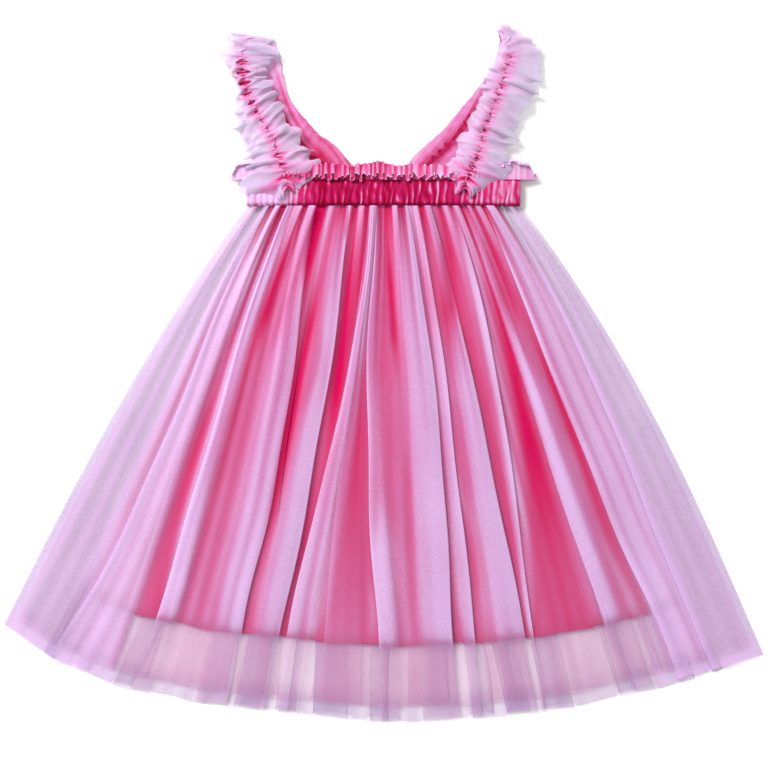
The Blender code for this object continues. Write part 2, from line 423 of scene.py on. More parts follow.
@dataclass(frozen=True)
class ShirredNet:
    """Nylon net gathered small: crimson where it dips between gathers, paler where it heaps up.

    Args:
        name: The material's name.
        deep: The colour of the satin seen in the dips.
        middle: The colour of the net lying close over it.
        pale: The colour of net heaped up.
        cover: How opaque the cloth is.
        thinning: How much less opaque it is where it is palest, in single loose layers, which
            then let some light through.
        sheen: How strongly the net's threads and fuzz catch the light.
    """

    name: str
    deep: str
    middle: str
    pale: str
    cover: float = 1.0
    thinning: float = 0.0
    sheen: float = 0.2

    CRUMPLE = 4.5 * MM
    HOLE = 1.0 * MM
    HOLE_RELIEF = 0.1 * MM
    GLOW_DEPTH = 3 * MM
    THICK_PALENESS = 0.45
    THIN_PALENESS = 1.40

    def material(self) -> bpy.types.Material:
        """Build the cloth's material, whose colour follows the paleness attribute.

        Returns:
            The material.
        """
        finish = {
            "Roughness": 0.7,
            "Specular IOR Level": self.sheen,
            "Sheen Weight": self.sheen,
            "Sheen Tint": linear("F4DCF2"),
            "Alpha": self.cover,
        }
        if self.thinning:
            finish["Subsurface Weight"] = 0.45
            finish["Subsurface Radius"] = (1.0, 0.8, 1.0)
            finish["Subsurface Scale"] = self.GLOW_DEPTH
        material, tree, shader = plain_material(self.name, finish)
        place = add_node(tree, "ShaderNodeTexCoord").outputs["Object"]
        paleness = add_node(tree, "ShaderNodeAttribute", {"attribute_name": PALENESS}).outputs["Fac"]
        tree.links.new(self.colour(tree, place, paleness), shader.inputs["Base Color"])
        holes = add_node(tree, "ShaderNodeTexVoronoi", {"Scale": 1 / self.HOLE}, {"Vector": place})
        relief = {"Strength": 0.25, "Distance": self.HOLE_RELIEF}
        bump = add_node(tree, "ShaderNodeBump", relief, {"Height": holes.outputs["Distance"]})
        tree.links.new(bump.outputs["Normal"], shader.inputs["Normal"])
        if self.thinning:
            reach = {"From Min": self.THICK_PALENESS, "From Max": self.THIN_PALENESS}
            reach.update({"To Min": self.cover, "To Max": self.cover - self.thinning})
            opacity = add_node(tree, "ShaderNodeMapRange", reach, {"Value": paleness})
            tree.links.new(opacity.outputs["Result"], shader.inputs["Alpha"])
        return material

    def colour(
        self, tree: bpy.types.NodeTree, place: bpy.types.NodeSocket, paleness: bpy.types.NodeSocket
    ) -> bpy.types.NodeSocket:
        """Work out the cloth's colour, a little uneven with its crumples.

        Args:
            tree: The material's node tree.
            place: Where each point of the piece lies.
            paleness: How much net lies heaped there.

        Returns:
            The colour.
        """
        crumple = add_node(
            tree, "ShaderNodeTexNoise", {"Scale": 1 / self.CRUMPLE, "Detail": 4.0}, {"Vector": place}
        )
        uneven = add_node(
            tree,
            "ShaderNodeMath",
            {"operation": "MULTIPLY_ADD", 1: 0.3, 2: -0.15},
            {0: crumple.outputs["Fac"]},
        )
        share = add_node(
            tree, "ShaderNodeMath", {"operation": "ADD"}, {0: paleness, 1: uneven.outputs[0]}
        )
        ramp = add_node(tree, "ShaderNodeValToRGB", None, {0: share.outputs[0]})
        ramp.color_ramp.elements[0].color = linear(self.deep)
        ramp.color_ramp.elements[1].color = linear(self.pale)
        ramp.color_ramp.elements.new(0.5).color = linear(self.middle)
        return ramp.outputs["Color"]


# ---------------------------------------------------------------------------------------- cloth grids
def deselect_all() -> None:
    """Leave nothing selected, so that the next operator acts on its own piece only."""
    bpy.ops.object.select_all(action="DESELECT")


def cloth(name: str, points: Array, readings: Mapping[str, Array] | None = None) -> bpy.types.Object:
    """Make one sheet of cloth from a grid.

    Args:
        name: The piece's name.
        points: Rows by columns by three: where each crossing of the grid lies.
        readings: Attribute names with rows by columns of values for the material.

    Returns:
        The sheet, shaded smooth, with its own UV map along its cut.
    """
    rows, columns = points.shape[:2]
    deselect_all()
    bpy.ops.mesh.primitive_grid_add(x_subdivisions=columns - 1, y_subdivisions=rows - 1, size=1.0)
    piece = bpy.context.active_object
    piece.name = name
    piece.data.name = name
    piece.data.vertices.foreach_set("co", points.astype(np.float32).ravel())
    for reading, values in (readings or {}).items():
        attribute = piece.data.attributes.new(reading, "FLOAT", "POINT")
        attribute.data.foreach_set("value", values.astype(np.float32).ravel())
    bpy.ops.object.shade_smooth()
    piece.data.update()
    return piece


def soften(grid: Array, spread: float) -> Array:
    """Round a grid along its columns with a Gaussian, its two side edges held.

    Args:
        grid: Rows by columns.
        spread: The Gaussian's spread, in columns.

    Returns:
        The softened grid.
    """
    reach = max(1, int(3 * spread))
    steps = np.arange(-reach, reach + 1)
    weights = np.exp(-0.5 * (steps / spread) ** 2)
    weights /= weights.sum()
    padded = np.pad(grid, ((0, 0), (reach, reach)), mode="reflect", reflect_type="odd")
    soft = sum(
        weight * padded[:, reach + step : reach + step + grid.shape[1]]
        for step, weight in zip(steps, weights)
    )
    return soft


def steepness(points: Array) -> Array:
    """Find how much cloth lies over each bit of table: the surface's area over its plan's.

    Args:
        points: The sheet's grid.

    Returns:
        A value for each point: 1 where the sheet lies level, and at most 2.5.
    """
    down = np.gradient(points, axis=0)
    along = np.gradient(points, axis=1)
    normal = np.cross(along, down)
    size = np.linalg.norm(normal, axis=2) + TINY
    return np.clip(size / (np.abs(normal[..., 2]) + TINY), 1.0, 2.5)


# ---------------------------------------------------------------------------------------- the skirt
@dataclass(frozen=True)
class HemPoint:
    """A point of the outer hem, at a share of the way round from its left tip."""

    share: float
    x: float
    y: float


HEM = (
    HemPoint(0.000, -0.2746, -0.1806),
    HemPoint(0.070, -0.2400, -0.2040),
    HemPoint(0.150, -0.1960, -0.2235),
    HemPoint(0.260, -0.1350, -0.2370),
    HemPoint(0.380, -0.0670, -0.2440),
    HemPoint(0.500, 0.0010, -0.2508),
    HemPoint(0.620, 0.0690, -0.2480),
    HemPoint(0.740, 0.1370, -0.2400),
    HemPoint(0.850, 0.1970, -0.2260),
    HemPoint(0.930, 0.2400, -0.2140),
    HemPoint(1.000, 0.2746, -0.2016),
)


@dataclass(frozen=True)
class SkirtOutline:
    """The skirt's flat outline, between the chest band's lower seam and the hem."""

    band_half_width: float
    band_y: float
    left_bulge: float = 9.5 * MM
    right_bulge: float = 14.5 * MM

    def width(self, down: Array | float) -> Array | float:
        """The skirt's width at a share of the way down."""
        return between(2 * self.band_half_width, HEM[-1].x - HEM[0].x, down)

    def place(self, across: Array, down: Array) -> tuple[Array, Array]:
        """Where a point of the skirt lies in plan.

        Args:
            across: 0 at the left side edge, 1 at the right one.
            down: 0 at the band, 1 at the outer hem.

        Returns:
            Its x and y.
        """
        shares = [point.share for point in HEM]
        hem_x = np.interp(across, shares, [point.x for point in HEM])
        hem_y = np.interp(across, shares, [point.y for point in HEM])
        lean = 2 * across - 1
        bulge = np.where(across > 0.5, self.right_bulge, self.left_bulge)
        swing = bulge * lean * np.sin(math.pi * np.clip(down, 0, 1) ** 0.8)
        x = between(self.band_half_width * lean, hem_x, down) + swing
        return x, between(self.band_y, hem_y, down)


@dataclass(frozen=True)
class Fold:
    """One lengthwise pleat: where its crisp edge runs across the skirt, and how far it laps."""

    faces: Facing
    edge: Knots
    lap: Knots


def fold(faces: Facing, edge: Sequence[float], lap: Sequence[float]) -> Fold:
    """A pleat from its edge and its lap at the band, a third, two thirds and the hem."""
    return Fold(faces, Knots(*edge), Knots(*lap))


OUTER_FOLDS = (
    fold(Facing.LEFT, (0.075, 0.098, 0.096, 0.066), (0.010, 0.012, 0.012, 0.010)),
    fold(Facing.LEFT, (0.148, 0.170, 0.181, 0.170), (0.018, 0.025, 0.028, 0.030)),
    fold(Facing.RIGHT, (0.255, 0.309, 0.311, 0.300), (0.028, 0.050, 0.050, 0.045)),
    fold(Facing.RIGHT, (0.385, 0.387, 0.369, 0.347), (0.045, 0.060, 0.046, 0.038)),
    fold(Facing.LEFT, (0.455, 0.421, 0.376, 0.358), (0.014, 0.020, 0.033, 0.034)),
    fold(Facing.LEFT, (0.478, 0.462, 0.478, 0.493), (0.016, 0.026, 0.033, 0.030)),
    fold(Facing.RIGHT, (0.590, 0.606, 0.601, 0.598), (0.052, 0.060, 0.055, 0.052)),
    fold(Facing.RIGHT, (0.628, 0.630, 0.628, 0.627), (0.018, 0.022, 0.020, 0.018)),
    fold(Facing.RIGHT, (0.672, 0.684, 0.692, 0.697), (0.020, 0.038, 0.042, 0.040)),
    fold(Facing.RIGHT, (0.760, 0.737, 0.714, 0.706), (0.050, 0.034, 0.013, 0.008)),
    fold(Facing.LEFT, (0.780, 0.779, 0.790, 0.822), (0.040, 0.042, 0.043, 0.030)),
    fold(Facing.LEFT, (0.860, 0.840, 0.856, 0.880), (0.026, 0.030, 0.030, 0.024)),
    fold(Facing.LEFT, (0.925, 0.916, 0.914, 0.925), (0.012, 0.014, 0.016, 0.018)),
)
INNER_FOLDS = (
    fold(Facing.LEFT, (0.110, 0.125, 0.135, 0.130), (0.020, 0.022, 0.020, 0.016)),
    fold(Facing.RIGHT, (0.262, 0.300, 0.305, 0.295), (0.060, 0.085, 0.100, 0.105)),
    fold(Facing.RIGHT, (0.375, 0.380, 0.360, 0.345), (0.045, 0.045, 0.030, 0.020)),
    fold(Facing.LEFT, (0.450, 0.425, 0.415, 0.412), (0.028, 0.035, 0.050, 0.062)),
    fold(Facing.RIGHT, (0.585, 0.600, 0.598, 0.600), (0.075, 0.100, 0.105, 0.105)),
    fold(Facing.RIGHT, (0.668, 0.680, 0.688, 0.700), (0.030, 0.048, 0.052, 0.066)),
    fold(Facing.LEFT, (0.785, 0.784, 0.795, 0.805), (0.036, 0.040, 0.044, 0.044)),
    fold(Facing.LEFT, (0.870, 0.862, 0.868, 0.868), (0.036, 0.040, 0.050, 0.060)),
)


@dataclass(frozen=True)
class Drift:
    """A long soft patch of the front where the net lies thinner, or heaps up.

    Args:
        top: Where it starts across the skirt.
        bottom: Where it ends across the skirt.
        start: How far down it starts.
        end: How far down it ends.
        top_half: Its half width at the start, as a share of the skirt's width.
        bottom_half: Its half width at the end.
        threads: Below 0, the share of the net's threads missing; above 0, the threads added.
    """

    top: float
    bottom: float
    start: float
    end: float
    top_half: float
    bottom_half: float
    threads: float

    LONGEST_TAPER = 0.16
    LEAD = 0.35

    def strength(self, across: Array, down: Array) -> Array:
        """Work out how fully a place is in the patch, which narrows and fades at its ends.

        Args:
            across: Where it lies across the skirt.
            down: Where it lies down the skirt.

        Returns:
            0 outside, 1 in the middle.
        """
        length = self.end - self.start
        share = np.clip((down - self.start) / length, 0, 1)
        middle = between(self.top, self.bottom, share)
        half = between(self.top_half, self.bottom_half, share)
        taper = min(self.LONGEST_TAPER, 0.5 * length)
        begun = smoothstep((down - self.start) / taper + self.LEAD)
        ends = begun * smoothstep((self.end - down) / taper + self.LEAD)
        narrowed = half * (0.35 + 0.65 * ends)
        return ends * np.exp(-((np.abs(across - middle) / narrowed) ** 3))


FRONT_DRIFTS = (
    Drift(0.205, 0.215, 0.06, 0.29, 0.011, 0.015, -0.93),
    Drift(0.262, 0.290, -0.05, 0.18, 0.032, 0.008, -0.99),
    Drift(0.165, 0.166, 0.36, 0.83, 0.010, 0.015, -0.75),
    Drift(0.323, 0.318, 0.14, 0.70, 0.015, 0.008, -0.97),
    Drift(0.372, 0.380, 0.00, 0.07, 0.014, 0.006, -0.95),
    Drift(0.420, 0.398, 0.05, 0.46, 0.028, 0.009, -0.99),
    Drift(0.447, 0.435, 0.28, 0.83, 0.012, 0.035, -0.80),
    Drift(0.514, 0.528, 0.07, 0.32, 0.008, 0.013, -0.92),
    Drift(0.540, 0.540, 0.46, 0.84, 0.008, 0.007, -0.55),
    Drift(0.692, 0.650, 0.03, 0.27, 0.022, 0.024, -0.97),
    Drift(0.645, 0.642, 0.37, 0.60, 0.012, 0.010, -0.50),
    Drift(0.772, 0.752, 0.10, 0.95, 0.010, 0.043, -0.97),
    Drift(0.822, 0.800, 0.04, 0.25, 0.018, 0.028, -0.74),
    Drift(0.836, 0.856, 0.27, 0.80, 0.006, 0.012, -0.88),
    Drift(0.100, 0.104, -0.20, 1.00, 0.024, 0.026, 4.2),
    Drift(0.124, 0.130, 0.05, 1.10, 0.015, 0.022, 4.0),
    Drift(0.165, 0.196, 0.03, 0.86, 0.014, 0.013, 4.0),
    Drift(0.262, 0.285, 0.22, 0.86, 0.016, 0.024, 2.1),
    Drift(0.345, 0.372, 0.02, 0.30, 0.016, 0.016, 1.8),
    Drift(0.365, 0.330, 0.34, 0.86, 0.018, 0.022, 2.3),
    Drift(0.462, 0.395, 0.02, 0.86, 0.010, 0.020, 2.6),
    Drift(0.500, 0.502, 0.58, 0.90, 0.018, 0.018, 2.3),
    Drift(0.560, 0.575, 0.04, 0.88, 0.026, 0.024, 2.1),
    Drift(0.618, 0.617, 0.20, 0.86, 0.012, 0.012, 2.0),
    Drift(0.660, 0.667, 0.28, 0.88, 0.022, 0.024, 2.5),
    Drift(0.760, 0.702, 0.02, 0.86, 0.026, 0.008, 2.1),
    Drift(0.795, 0.810, 0.30, 0.88, 0.018, 0.018, 2.6),
    Drift(0.872, 0.885, 0.04, 1.10, 0.020, 0.036, 2.9),
    Drift(0.918, 0.918, -0.20, 1.00, 0.024, 0.026, 4.2),
)


def mirrored(folds: Sequence[Fold]) -> tuple[Fold, ...]:
    """Turn pleats round for the hidden half of the skirt.

    Args:
        folds: The front's pleats, from left to right.

    Returns:
        The same pleats the other way round, again from left to right.
    """
    turned = []
    for pleat in reversed(folds):
        edge = pleat.edge
        faces = Facing.LEFT if pleat.faces is Facing.RIGHT else Facing.RIGHT
        flipped = Knots(1 - edge.band, 1 - edge.upper, 1 - edge.lower, 1 - edge.hem)
        turned.append(Fold(faces, flipped, pleat.lap))
    return tuple(turned)


class Pile:
    """How high the cloths laid so far reach, on a grid over the skirt."""

    COLUMNS = 480
    ROWS = 90

    def __init__(self, clearance: float) -> None:
        """Start with the bare table.

        Args:
            clearance: The gap left between one cloth and the next.
        """
        self.clearance = clearance
        self.across = np.linspace(0.0, 1.0, self.COLUMNS)
        self.down = np.linspace(0.0, 1.0, self.ROWS)
        self.top = np.full((self.ROWS, self.COLUMNS), clearance)

    def height(self, across: Array, down: Array) -> Array:
        """Read the pile's height between its grid's points.

        Args:
            across: Where to read it across the skirt.
            down: Where to read it down the skirt.

        Returns:
            A height for each place.
        """
        column = np.clip(across, 0, 1) * (self.COLUMNS - 1)
        row = np.clip(down, 0, 1) * (self.ROWS - 1)
        left = np.minimum(column.astype(int), self.COLUMNS - 2)
        upper = np.minimum(row.astype(int), self.ROWS - 2)
        by, ay = column - left, row - upper
        low = between(self.top[upper, left], self.top[upper, left + 1], by)
        high = between(self.top[upper + 1, left], self.top[upper + 1, left + 1], by)
        return between(low, high, ay)

    def lay(self, thickness: Array) -> None:
        """Raise the pile by a cloth, thickness thick at each point of the grid."""
        self.top = soften(self.top + thickness, 2.0)


@dataclass(frozen=True)
class HeapLook:
    """How a cloth's threads heap up, in threads where one would lie.

    Args:
        single_top: In a single layer over the lining, near the band.
        single_hem: The same near the lining's hem.
        beside_lining: Added beside the lining, where the table is under the net.
        below_lining: Added below the lining's hem.
        turned_hem: Added along the net's own hem.
        edge: Added along a pleat's crisp edge.
        edge_over_table: The share of that edge left where the table is under the net.
    """

    single_top: float
    single_hem: float
    beside_lining: float
    below_lining: float
    turned_hem: float
    edge: float
    edge_over_table: float


OUTER_LOOK = HeapLook(
    single_top=2.1,
    single_hem=2.9,
    beside_lining=1.6,
    below_lining=-2.0,
    turned_hem=1.6,
    edge=4.6,
    edge_over_table=0.2,
)
INNER_LOOK = HeapLook(
    single_top=1.8,
    single_hem=2.5,
    beside_lining=-0.3,
    below_lining=-0.8,
    turned_hem=0.3,
    edge=2.4,
    edge_over_table=0.3,
)
PLAIN_LOOK = HeapLook(1.0, 1.0, 0.0, 0.0, 0.0, 0.0, 1.0)


@dataclass
class SkirtSheet:
    """One cloth of the skirt, laid in lengthwise pleats and rippled by its gathers.

    Args:
        name: The piece's name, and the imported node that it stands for.
        outline: The skirt's outline.
        folds: Its pleats, from left to right.
        length: How far down it reaches, as a share of the outer skirt.
        inset: How far its side edges lie inside the outline, as a share of the width.
        layer_gap: The height from one layer of a pleat to the next.
        ripple: The gathers' height at the hem and at the band.
        ripple_length: A gather's length in the flat cloth.
        hem_step: How far the hem of a pleat's hidden layers hangs below the top one.
        pitch: The spacing of the mesh across the cloth.
        rows: The mesh's rows.
        seed: Picks the unevenness.
        look: How its threads heap up.
        drifts: Where its net lies thinner or thicker.
    """

    name: str
    outline: SkirtOutline
    folds: Sequence[Fold]
    length: float
    inset: float
    layer_gap: float
    ripple: tuple[float, float]
    ripple_length: float
    hem_step: float
    pitch: float
    rows: int
    seed: int
    look: HeapLook
    drifts: Sequence[Drift] = ()

    ROW_CROWDING = 1.12
    TURN_ROUNDING = 1.1
    HEIGHT_ROUNDING = 1.7
    STRAY = 0.0022
    LAP_RAMP = 5 * MM
    BAND_FADE = 2.2

    @property
    def shows(self) -> float:
        """1 for a front net, which has its patches, and 0 for a cloth that lies hidden."""
        return 1.0 if self.drifts else 0.0

    def turns(self, down: Array) -> Array:
        """Find where the cloth starts, turns and ends across the skirt.

        Args:
            down: Shares of the way down the skirt.

        Returns:
            A row for each share: the left edge, two turns for each pleat, and the right edge.
        """
        points = [np.full_like(down, self.inset)]
        for number, pleat in enumerate(self.folds):
            wander = Wander(self.seed + 60 + number, 0.6, 3).at(down)
            stray = self.STRAY * wander * smoothstep(down / 0.1)
            edge, lap = pleat.edge.at(down) + stray, pleat.lap.at(down)
            points += [edge, edge - lap] if pleat.faces is Facing.RIGHT else [edge + lap, edge]
        points.append(np.full_like(down, 1 - self.inset))
        return np.stack(points, axis=1)

    def ranks(self) -> list[int]:
        """List each stretch's place in the pile of layers.

        Returns:
            A number for each stretch between two turns; a higher one lies over a lower one.
        """
        ranks = [0]
        for pleat in self.folds:
            step = -pleat.faces.value
            ranks += [ranks[-1] + step, ranks[-1] + 2 * step]
        return ranks

    def stretch_counts(self) -> list[int]:
        """Share out the mesh's columns.

        Returns:
            How many columns each stretch between two turns has.
        """
        shares = np.array([0.0, 1 / 3, 2 / 3, 1.0])
        widths = self.outline.width(shares)
        lengths = np.abs(np.diff(self.turns(shares), axis=1)) * widths[:, None]
        return [max(4, round(float(longest) / self.pitch)) for longest in lengths.max(axis=0)]

    def cut(self) -> tuple[tuple[float, float], float]:
        """Unfold the cloth to the flared panel that it is cut as.

        Returns:
            Its box's width and length, and its area.
        """
        ends = np.array([0.0, self.length])
        laid = np.abs(np.diff(self.turns(ends), axis=1)).sum(axis=1) * self.outline.width(ends)
        band_width, hem_width = (float(width) for width in laid)
        length = self.length * SKIRT_LENGTH
        return (hem_width, length), (band_width + hem_width) / 2 * length

    def covers(self, turns: Array, across: Array, down: Array) -> Array:
        """Work out how fully each stretch covers each place, with soft ends.

        Args:
            turns: Where the cloth turns, a row for each share down.
            across: The places, in the same rows.
            down: The shares down.

        Returns:
            Rows by places by stretches, 0 to 1.
        """
        low = np.minimum(turns[:, :-1], turns[:, 1:])[:, None, :]
        high = np.maximum(turns[:, :-1], turns[:, 1:])[:, None, :]
        ramp = (self.LAP_RAMP / self.outline.width(down))[:, None, None]
        here = across[:, :, None]
        return smoothstep((here - low) / ramp + 0.5) * smoothstep((high - here) / ramp + 0.5)

    def ripple_size(self, down: Array) -> Array:
        """How high the gathers stand at a share of the way down: most at the band."""
        hem_size, band_size = self.ripple
        return hem_size + (band_size - hem_size) * (1 - down) ** self.BAND_FADE

    def ripples(self, cut: Array, down: Array) -> Array:
        """Ripple the cloth with its gathers.

        Args:
            cut: Each point's place along the flat cloth.
            down: Each point's share of the way down.

        Returns:
            Each point's height above or below the cloth's mean.
        """
        wave = Wander(self.seed, self.ripple_length, 3).at(cut, down)
        fine = Wander(self.seed + 1, 0.45 * self.ripple_length, 3).at(cut, 2 * down)
        patchy = 0.6 + 0.4 * Wander(self.seed + 2, 0.16, 3).at(cut, 1.5 * down)
        return self.ripple_size(down) * patchy * (wave + 0.45 * fine * (1 - 0.5 * down))

    def columns(self, turns: Array, counts: Sequence[int]) -> tuple[Array, Array]:
        """Space the mesh's columns along the folded cloth.

        Args:
            turns: Where the cloth turns, a row for each share down.
            counts: How many columns each stretch between two turns has.

        Returns:
            Where each row's columns lie across the skirt, and each column's place in the pile.
        """
        ranks = self.ranks()
        across, rank = [turns[:, :1]], [ranks[0]]
        for number, count in enumerate(counts):
            share = np.arange(1, count + 1)[None, :] / count
            across.append(between(turns[:, number, None], turns[:, number + 1, None], share))
            rank += [ranks[number]] * count
        return np.concatenate(across, axis=1), np.array(rank)

    def build(self, pile: Pile) -> tuple[Array, dict[str, Array]]:
        """Lay the cloth on the pile.

        Args:
            pile: What is laid already; this cloth is added to it.

        Returns:
            The grid's points, and the readings for its material.
        """
        down = self.length * np.linspace(0.0, 1.0, self.rows) ** self.ROW_CROWDING
        turns = self.turns(down)
        counts = self.stretch_counts()
        across, rank = self.columns(turns, counts)
        cut = np.arange(rank.size) * self.pitch
        rows = np.broadcast_to(down[:, None], across.shape)

        lower = np.array(self.ranks())[None, :] < rank[:, None]
        layers_under = (self.covers(turns, across, down) * lower[None, :, :]).sum(axis=2)
        ripple = self.ripples(np.broadcast_to(cut[None, :], across.shape), rows)
        height = pile.height(across, rows) + self.layer_gap * layers_under + ripple
        height = soften(height + 0.9 * self.ripple_size(rows), self.HEIGHT_ROUNDING)

        across = soften(across, self.TURN_ROUNDING)
        x, y = self.outline.place(across, rows + self.hem(cut, layers_under, rows))
        points = np.stack([x, y, np.maximum(height, pile.clearance)], axis=2)
        self.raise_pile(pile, turns, down)
        glow = (1 - self.beside(across)) * (1 - 0.62 * self.below(rows)) * self.shows
        threads = self.heaps(across, cut, rows, counts) * steepness(points)
        return points, {GATHER: threads, GLOW: glow}

    def beside(self, across: Array) -> Array:
        """How far beside the lining a place is, 0 to 1."""
        return smoothstep((0.165 - np.minimum(across, 1 - across)) / 0.09)

    def below(self, rows: Array) -> Array:
        """How far below the lining's hem a place is, 0 to 1."""
        return smoothstep((rows - 0.835) / 0.03)

    def heaps(self, across: Array, cut: Array, rows: Array, counts: Sequence[int]) -> Array:
        """Work out how many threads lie where one would.

        Args:
            across: Where each point lies across the skirt.
            cut: Each column's place along the flat cloth.
            rows: Where each point lies down the skirt.
            counts: How many columns each stretch between two turns has.

        Returns:
            One value for each point.
        """
        look = self.look
        beside, below = self.beside(across), self.below(rows)
        bare = np.maximum(beside, below)
        threads = between(look.single_top, look.single_hem, smoothstep((rows - 0.40) / 0.42))
        threads = threads + look.beside_lining * beside
        threads = threads + look.below_lining * below * (1 - beside)
        threads = threads + look.turned_hem * smoothstep((rows / self.length - 0.955) / 0.02)
        edges, parted_and_pleat_shade = self.pleat_heaps(cut, rows, counts)
        threads = threads + look.edge * edges * between(1.0, look.edge_over_table, bare)
        wave = Wander(self.seed + 3, 1.6 * self.ripple_length, 4).at(cut[None, :], 1.2 * rows)
        fine = Wander(self.seed + 4, 0.8 * self.ripple_length, 4).at(cut[None, :], 2.0 * rows)
        streak = 1 + wave * between(0.25, 0.70, (1 - rows) ** 2.5) + 0.75 * fine * (1 - rows) ** 5
        threads = threads * between(parted_and_pleat_shade, 1.0, 0.6 * bare) * np.maximum(streak, 0.08)
        threads = self.drifted(threads, across, rows, wave)
        return np.clip(self.pinched(threads, across, rows), 0.02, 14.0)

    def pleat_heaps(self, cut: Array, rows: Array, counts: Sequence[int]) -> tuple[Array, Array]:
        """Heap the threads up along the pleats' crisp edges, thin them where layers part, and thin them as
        painted shade where a layer comes out from under a pleat.

        Args:
            cut: Each column's place along the flat cloth.
            rows: Where each point lies down the skirt.
            counts: How many columns each stretch between two turns has.

        Returns:
            The threads added, for a look of one at an edge, and the share of the others left after the
            parting and the painted shade.
        """
        ends = np.cumsum(counts)
        edges, parted_and_pleat_shade = np.zeros_like(rows), np.ones_like(rows)
        for number, pleat in enumerate(self.folds):
            crisp, inner = ends[2 * number], ends[2 * number + 1]
            if pleat.faces is Facing.LEFT:
                crisp, inner = inner, crisp
            lap = np.clip(pleat.lap.at(rows), 0.008, 0.06) * self.outline.width(rows)
            swell = 1 + 0.35 * Wander(self.seed + 7 * number, 0.5, 2).at(rows)
            off_edge = np.abs(cut - cut[crisp])
            broad = 0.62 * np.exp(-((off_edge / (0.8 * lap)) ** 1.5))
            edges += swell * (broad + 0.75 * np.exp(-off_edge / (2.6 * MM)))
            parted_and_pleat_shade *= 1 - 0.92 * np.exp(-(((cut - cut[inner]) / (0.55 * lap)) ** 2))
            # Painted shade: past each pleat's lap, where the layer comes out from under it, threads are
            # taken away so the lining reads darker.
            emerges = cut[inner] + np.sign(cut[inner] - cut[crisp]) * lap
            reach = 9 * MM * (0.8 + 0.5 * Wander(self.seed + 9 * number, 0.4, 2).at(rows))
            parted_and_pleat_shade *= 1 - 0.8 * np.exp(-(((cut - emerges) / reach) ** 2))
        return edges, parted_and_pleat_shade

    def drifted(self, threads: Array, across: Array, rows: Array, wave: Array) -> Array:
        """Thin the net, or heap it up, in its long soft patches.

        Args:
            threads: How many threads lie where one would.
            across: Where each point lies across the skirt.
            rows: Where each point lies down the skirt.
            wave: The gathers' unevenness, which breaks the heaps up.

        Returns:
            The threads with the patches in them.
        """
        from_side = np.minimum(across, 1 - across)
        lining_ends = self.below(rows) * smoothstep((from_side - 0.13) / 0.07)
        over_lining = 1 - np.maximum(smoothstep((0.085 - from_side) / 0.04), lining_ends)
        thin_less = 1 - 0.60 * smoothstep((rows - 0.45) / 0.40)
        for drift in self.drifts:
            part = drift.strength(across, rows) * over_lining
            if drift.threads < 0:
                threads = threads * (1 + part * thin_less * drift.threads)
            else:
                threads = threads + part * drift.threads * (1 + 0.4 * wave)
        return threads

    def pinched(self, threads: Array, across: Array, rows: Array) -> Array:
        """Draw the threads together below the band: bunched in the gathers, bare between them, where the
        bare gaps are painted shade under the band's seam.

        Args:
            threads: How many threads lie where one would.
            across: Where each point lies across the skirt.
            rows: Where each point lies down the skirt.

        Returns:
            The threads as the band's stitching holds them.
        """
        gathers = Wander(77, 0.085, 4).at(across, 0.5 * rows) + 0.5 * Wander(78, 0.24, 2).at(across)
        near_band = (1 - rows) ** 9 * self.shows
        # Painted shade: just under the band the threads between the gathers are taken away, so the crimson
        # lining shows as the seam's shadow.
        parted_in_seam_shade = 1 - 0.96 * near_band * smoothstep(0.60 + 1.2 * gathers)
        bunched = 3.6 * near_band * smoothstep(0.25 - 1.2 * gathers)
        return threads * parted_in_seam_shade + bunched

    def hem(self, cut: Array, layers_under: Array, rows: Array) -> Array:
        """Hang the cut edge unevenly.

        Args:
            cut: Each column's place along the flat cloth.
            layers_under: How many of the cloth's own layers lie under each point.
            rows: Where each point lies down the skirt.

        Returns:
            How far past its even length each point hangs, as a share of the skirt's length.
        """
        uneven = 1.2 * MM * Wander(self.seed + 5, 0.09, 3).at(cut)[None, :]
        hidden = self.hem_step * (0.5 - np.clip(layers_under, 0, 2) / 2)
        near_hem = smoothstep((rows / self.length - 0.8) / 0.2)
        return near_hem * (uneven + hidden) / SKIRT_LENGTH

    def raise_pile(self, pile: Pile, turns: Array, down: Array) -> None:
        """Add this cloth's layers to the pile.

        Args:
            pile: What is laid already.
            turns: Where the cloth turns, a row for each share down.
            down: The shares down.
        """
        places = np.broadcast_to(pile.across[None, :], (down.size, pile.COLUMNS))
        layers = self.covers(turns, places, down).sum(axis=2)
        relief = smoothstep(layers) * (1.8 * self.ripple_size(down[:, None]) + pile.clearance)
        thick = self.layer_gap * np.maximum(layers - 1, 0) + relief
        columns = [
            np.interp(pile.down, down, thick[:, column], right=0.0) for column in range(pile.COLUMNS)
        ]
        pile.lay(np.array(columns).T)


LINING_FOLDS = (
    fold(Facing.RIGHT, (0.300, 0.320, 0.330, 0.335), (0.012, 0.012, 0.010, 0.008)),
    fold(Facing.LEFT, (0.560, 0.580, 0.590, 0.600), (0.012, 0.010, 0.009, 0.008)),
    fold(Facing.RIGHT, (0.780, 0.800, 0.805, 0.800), (0.012, 0.012, 0.010, 0.008)),
)


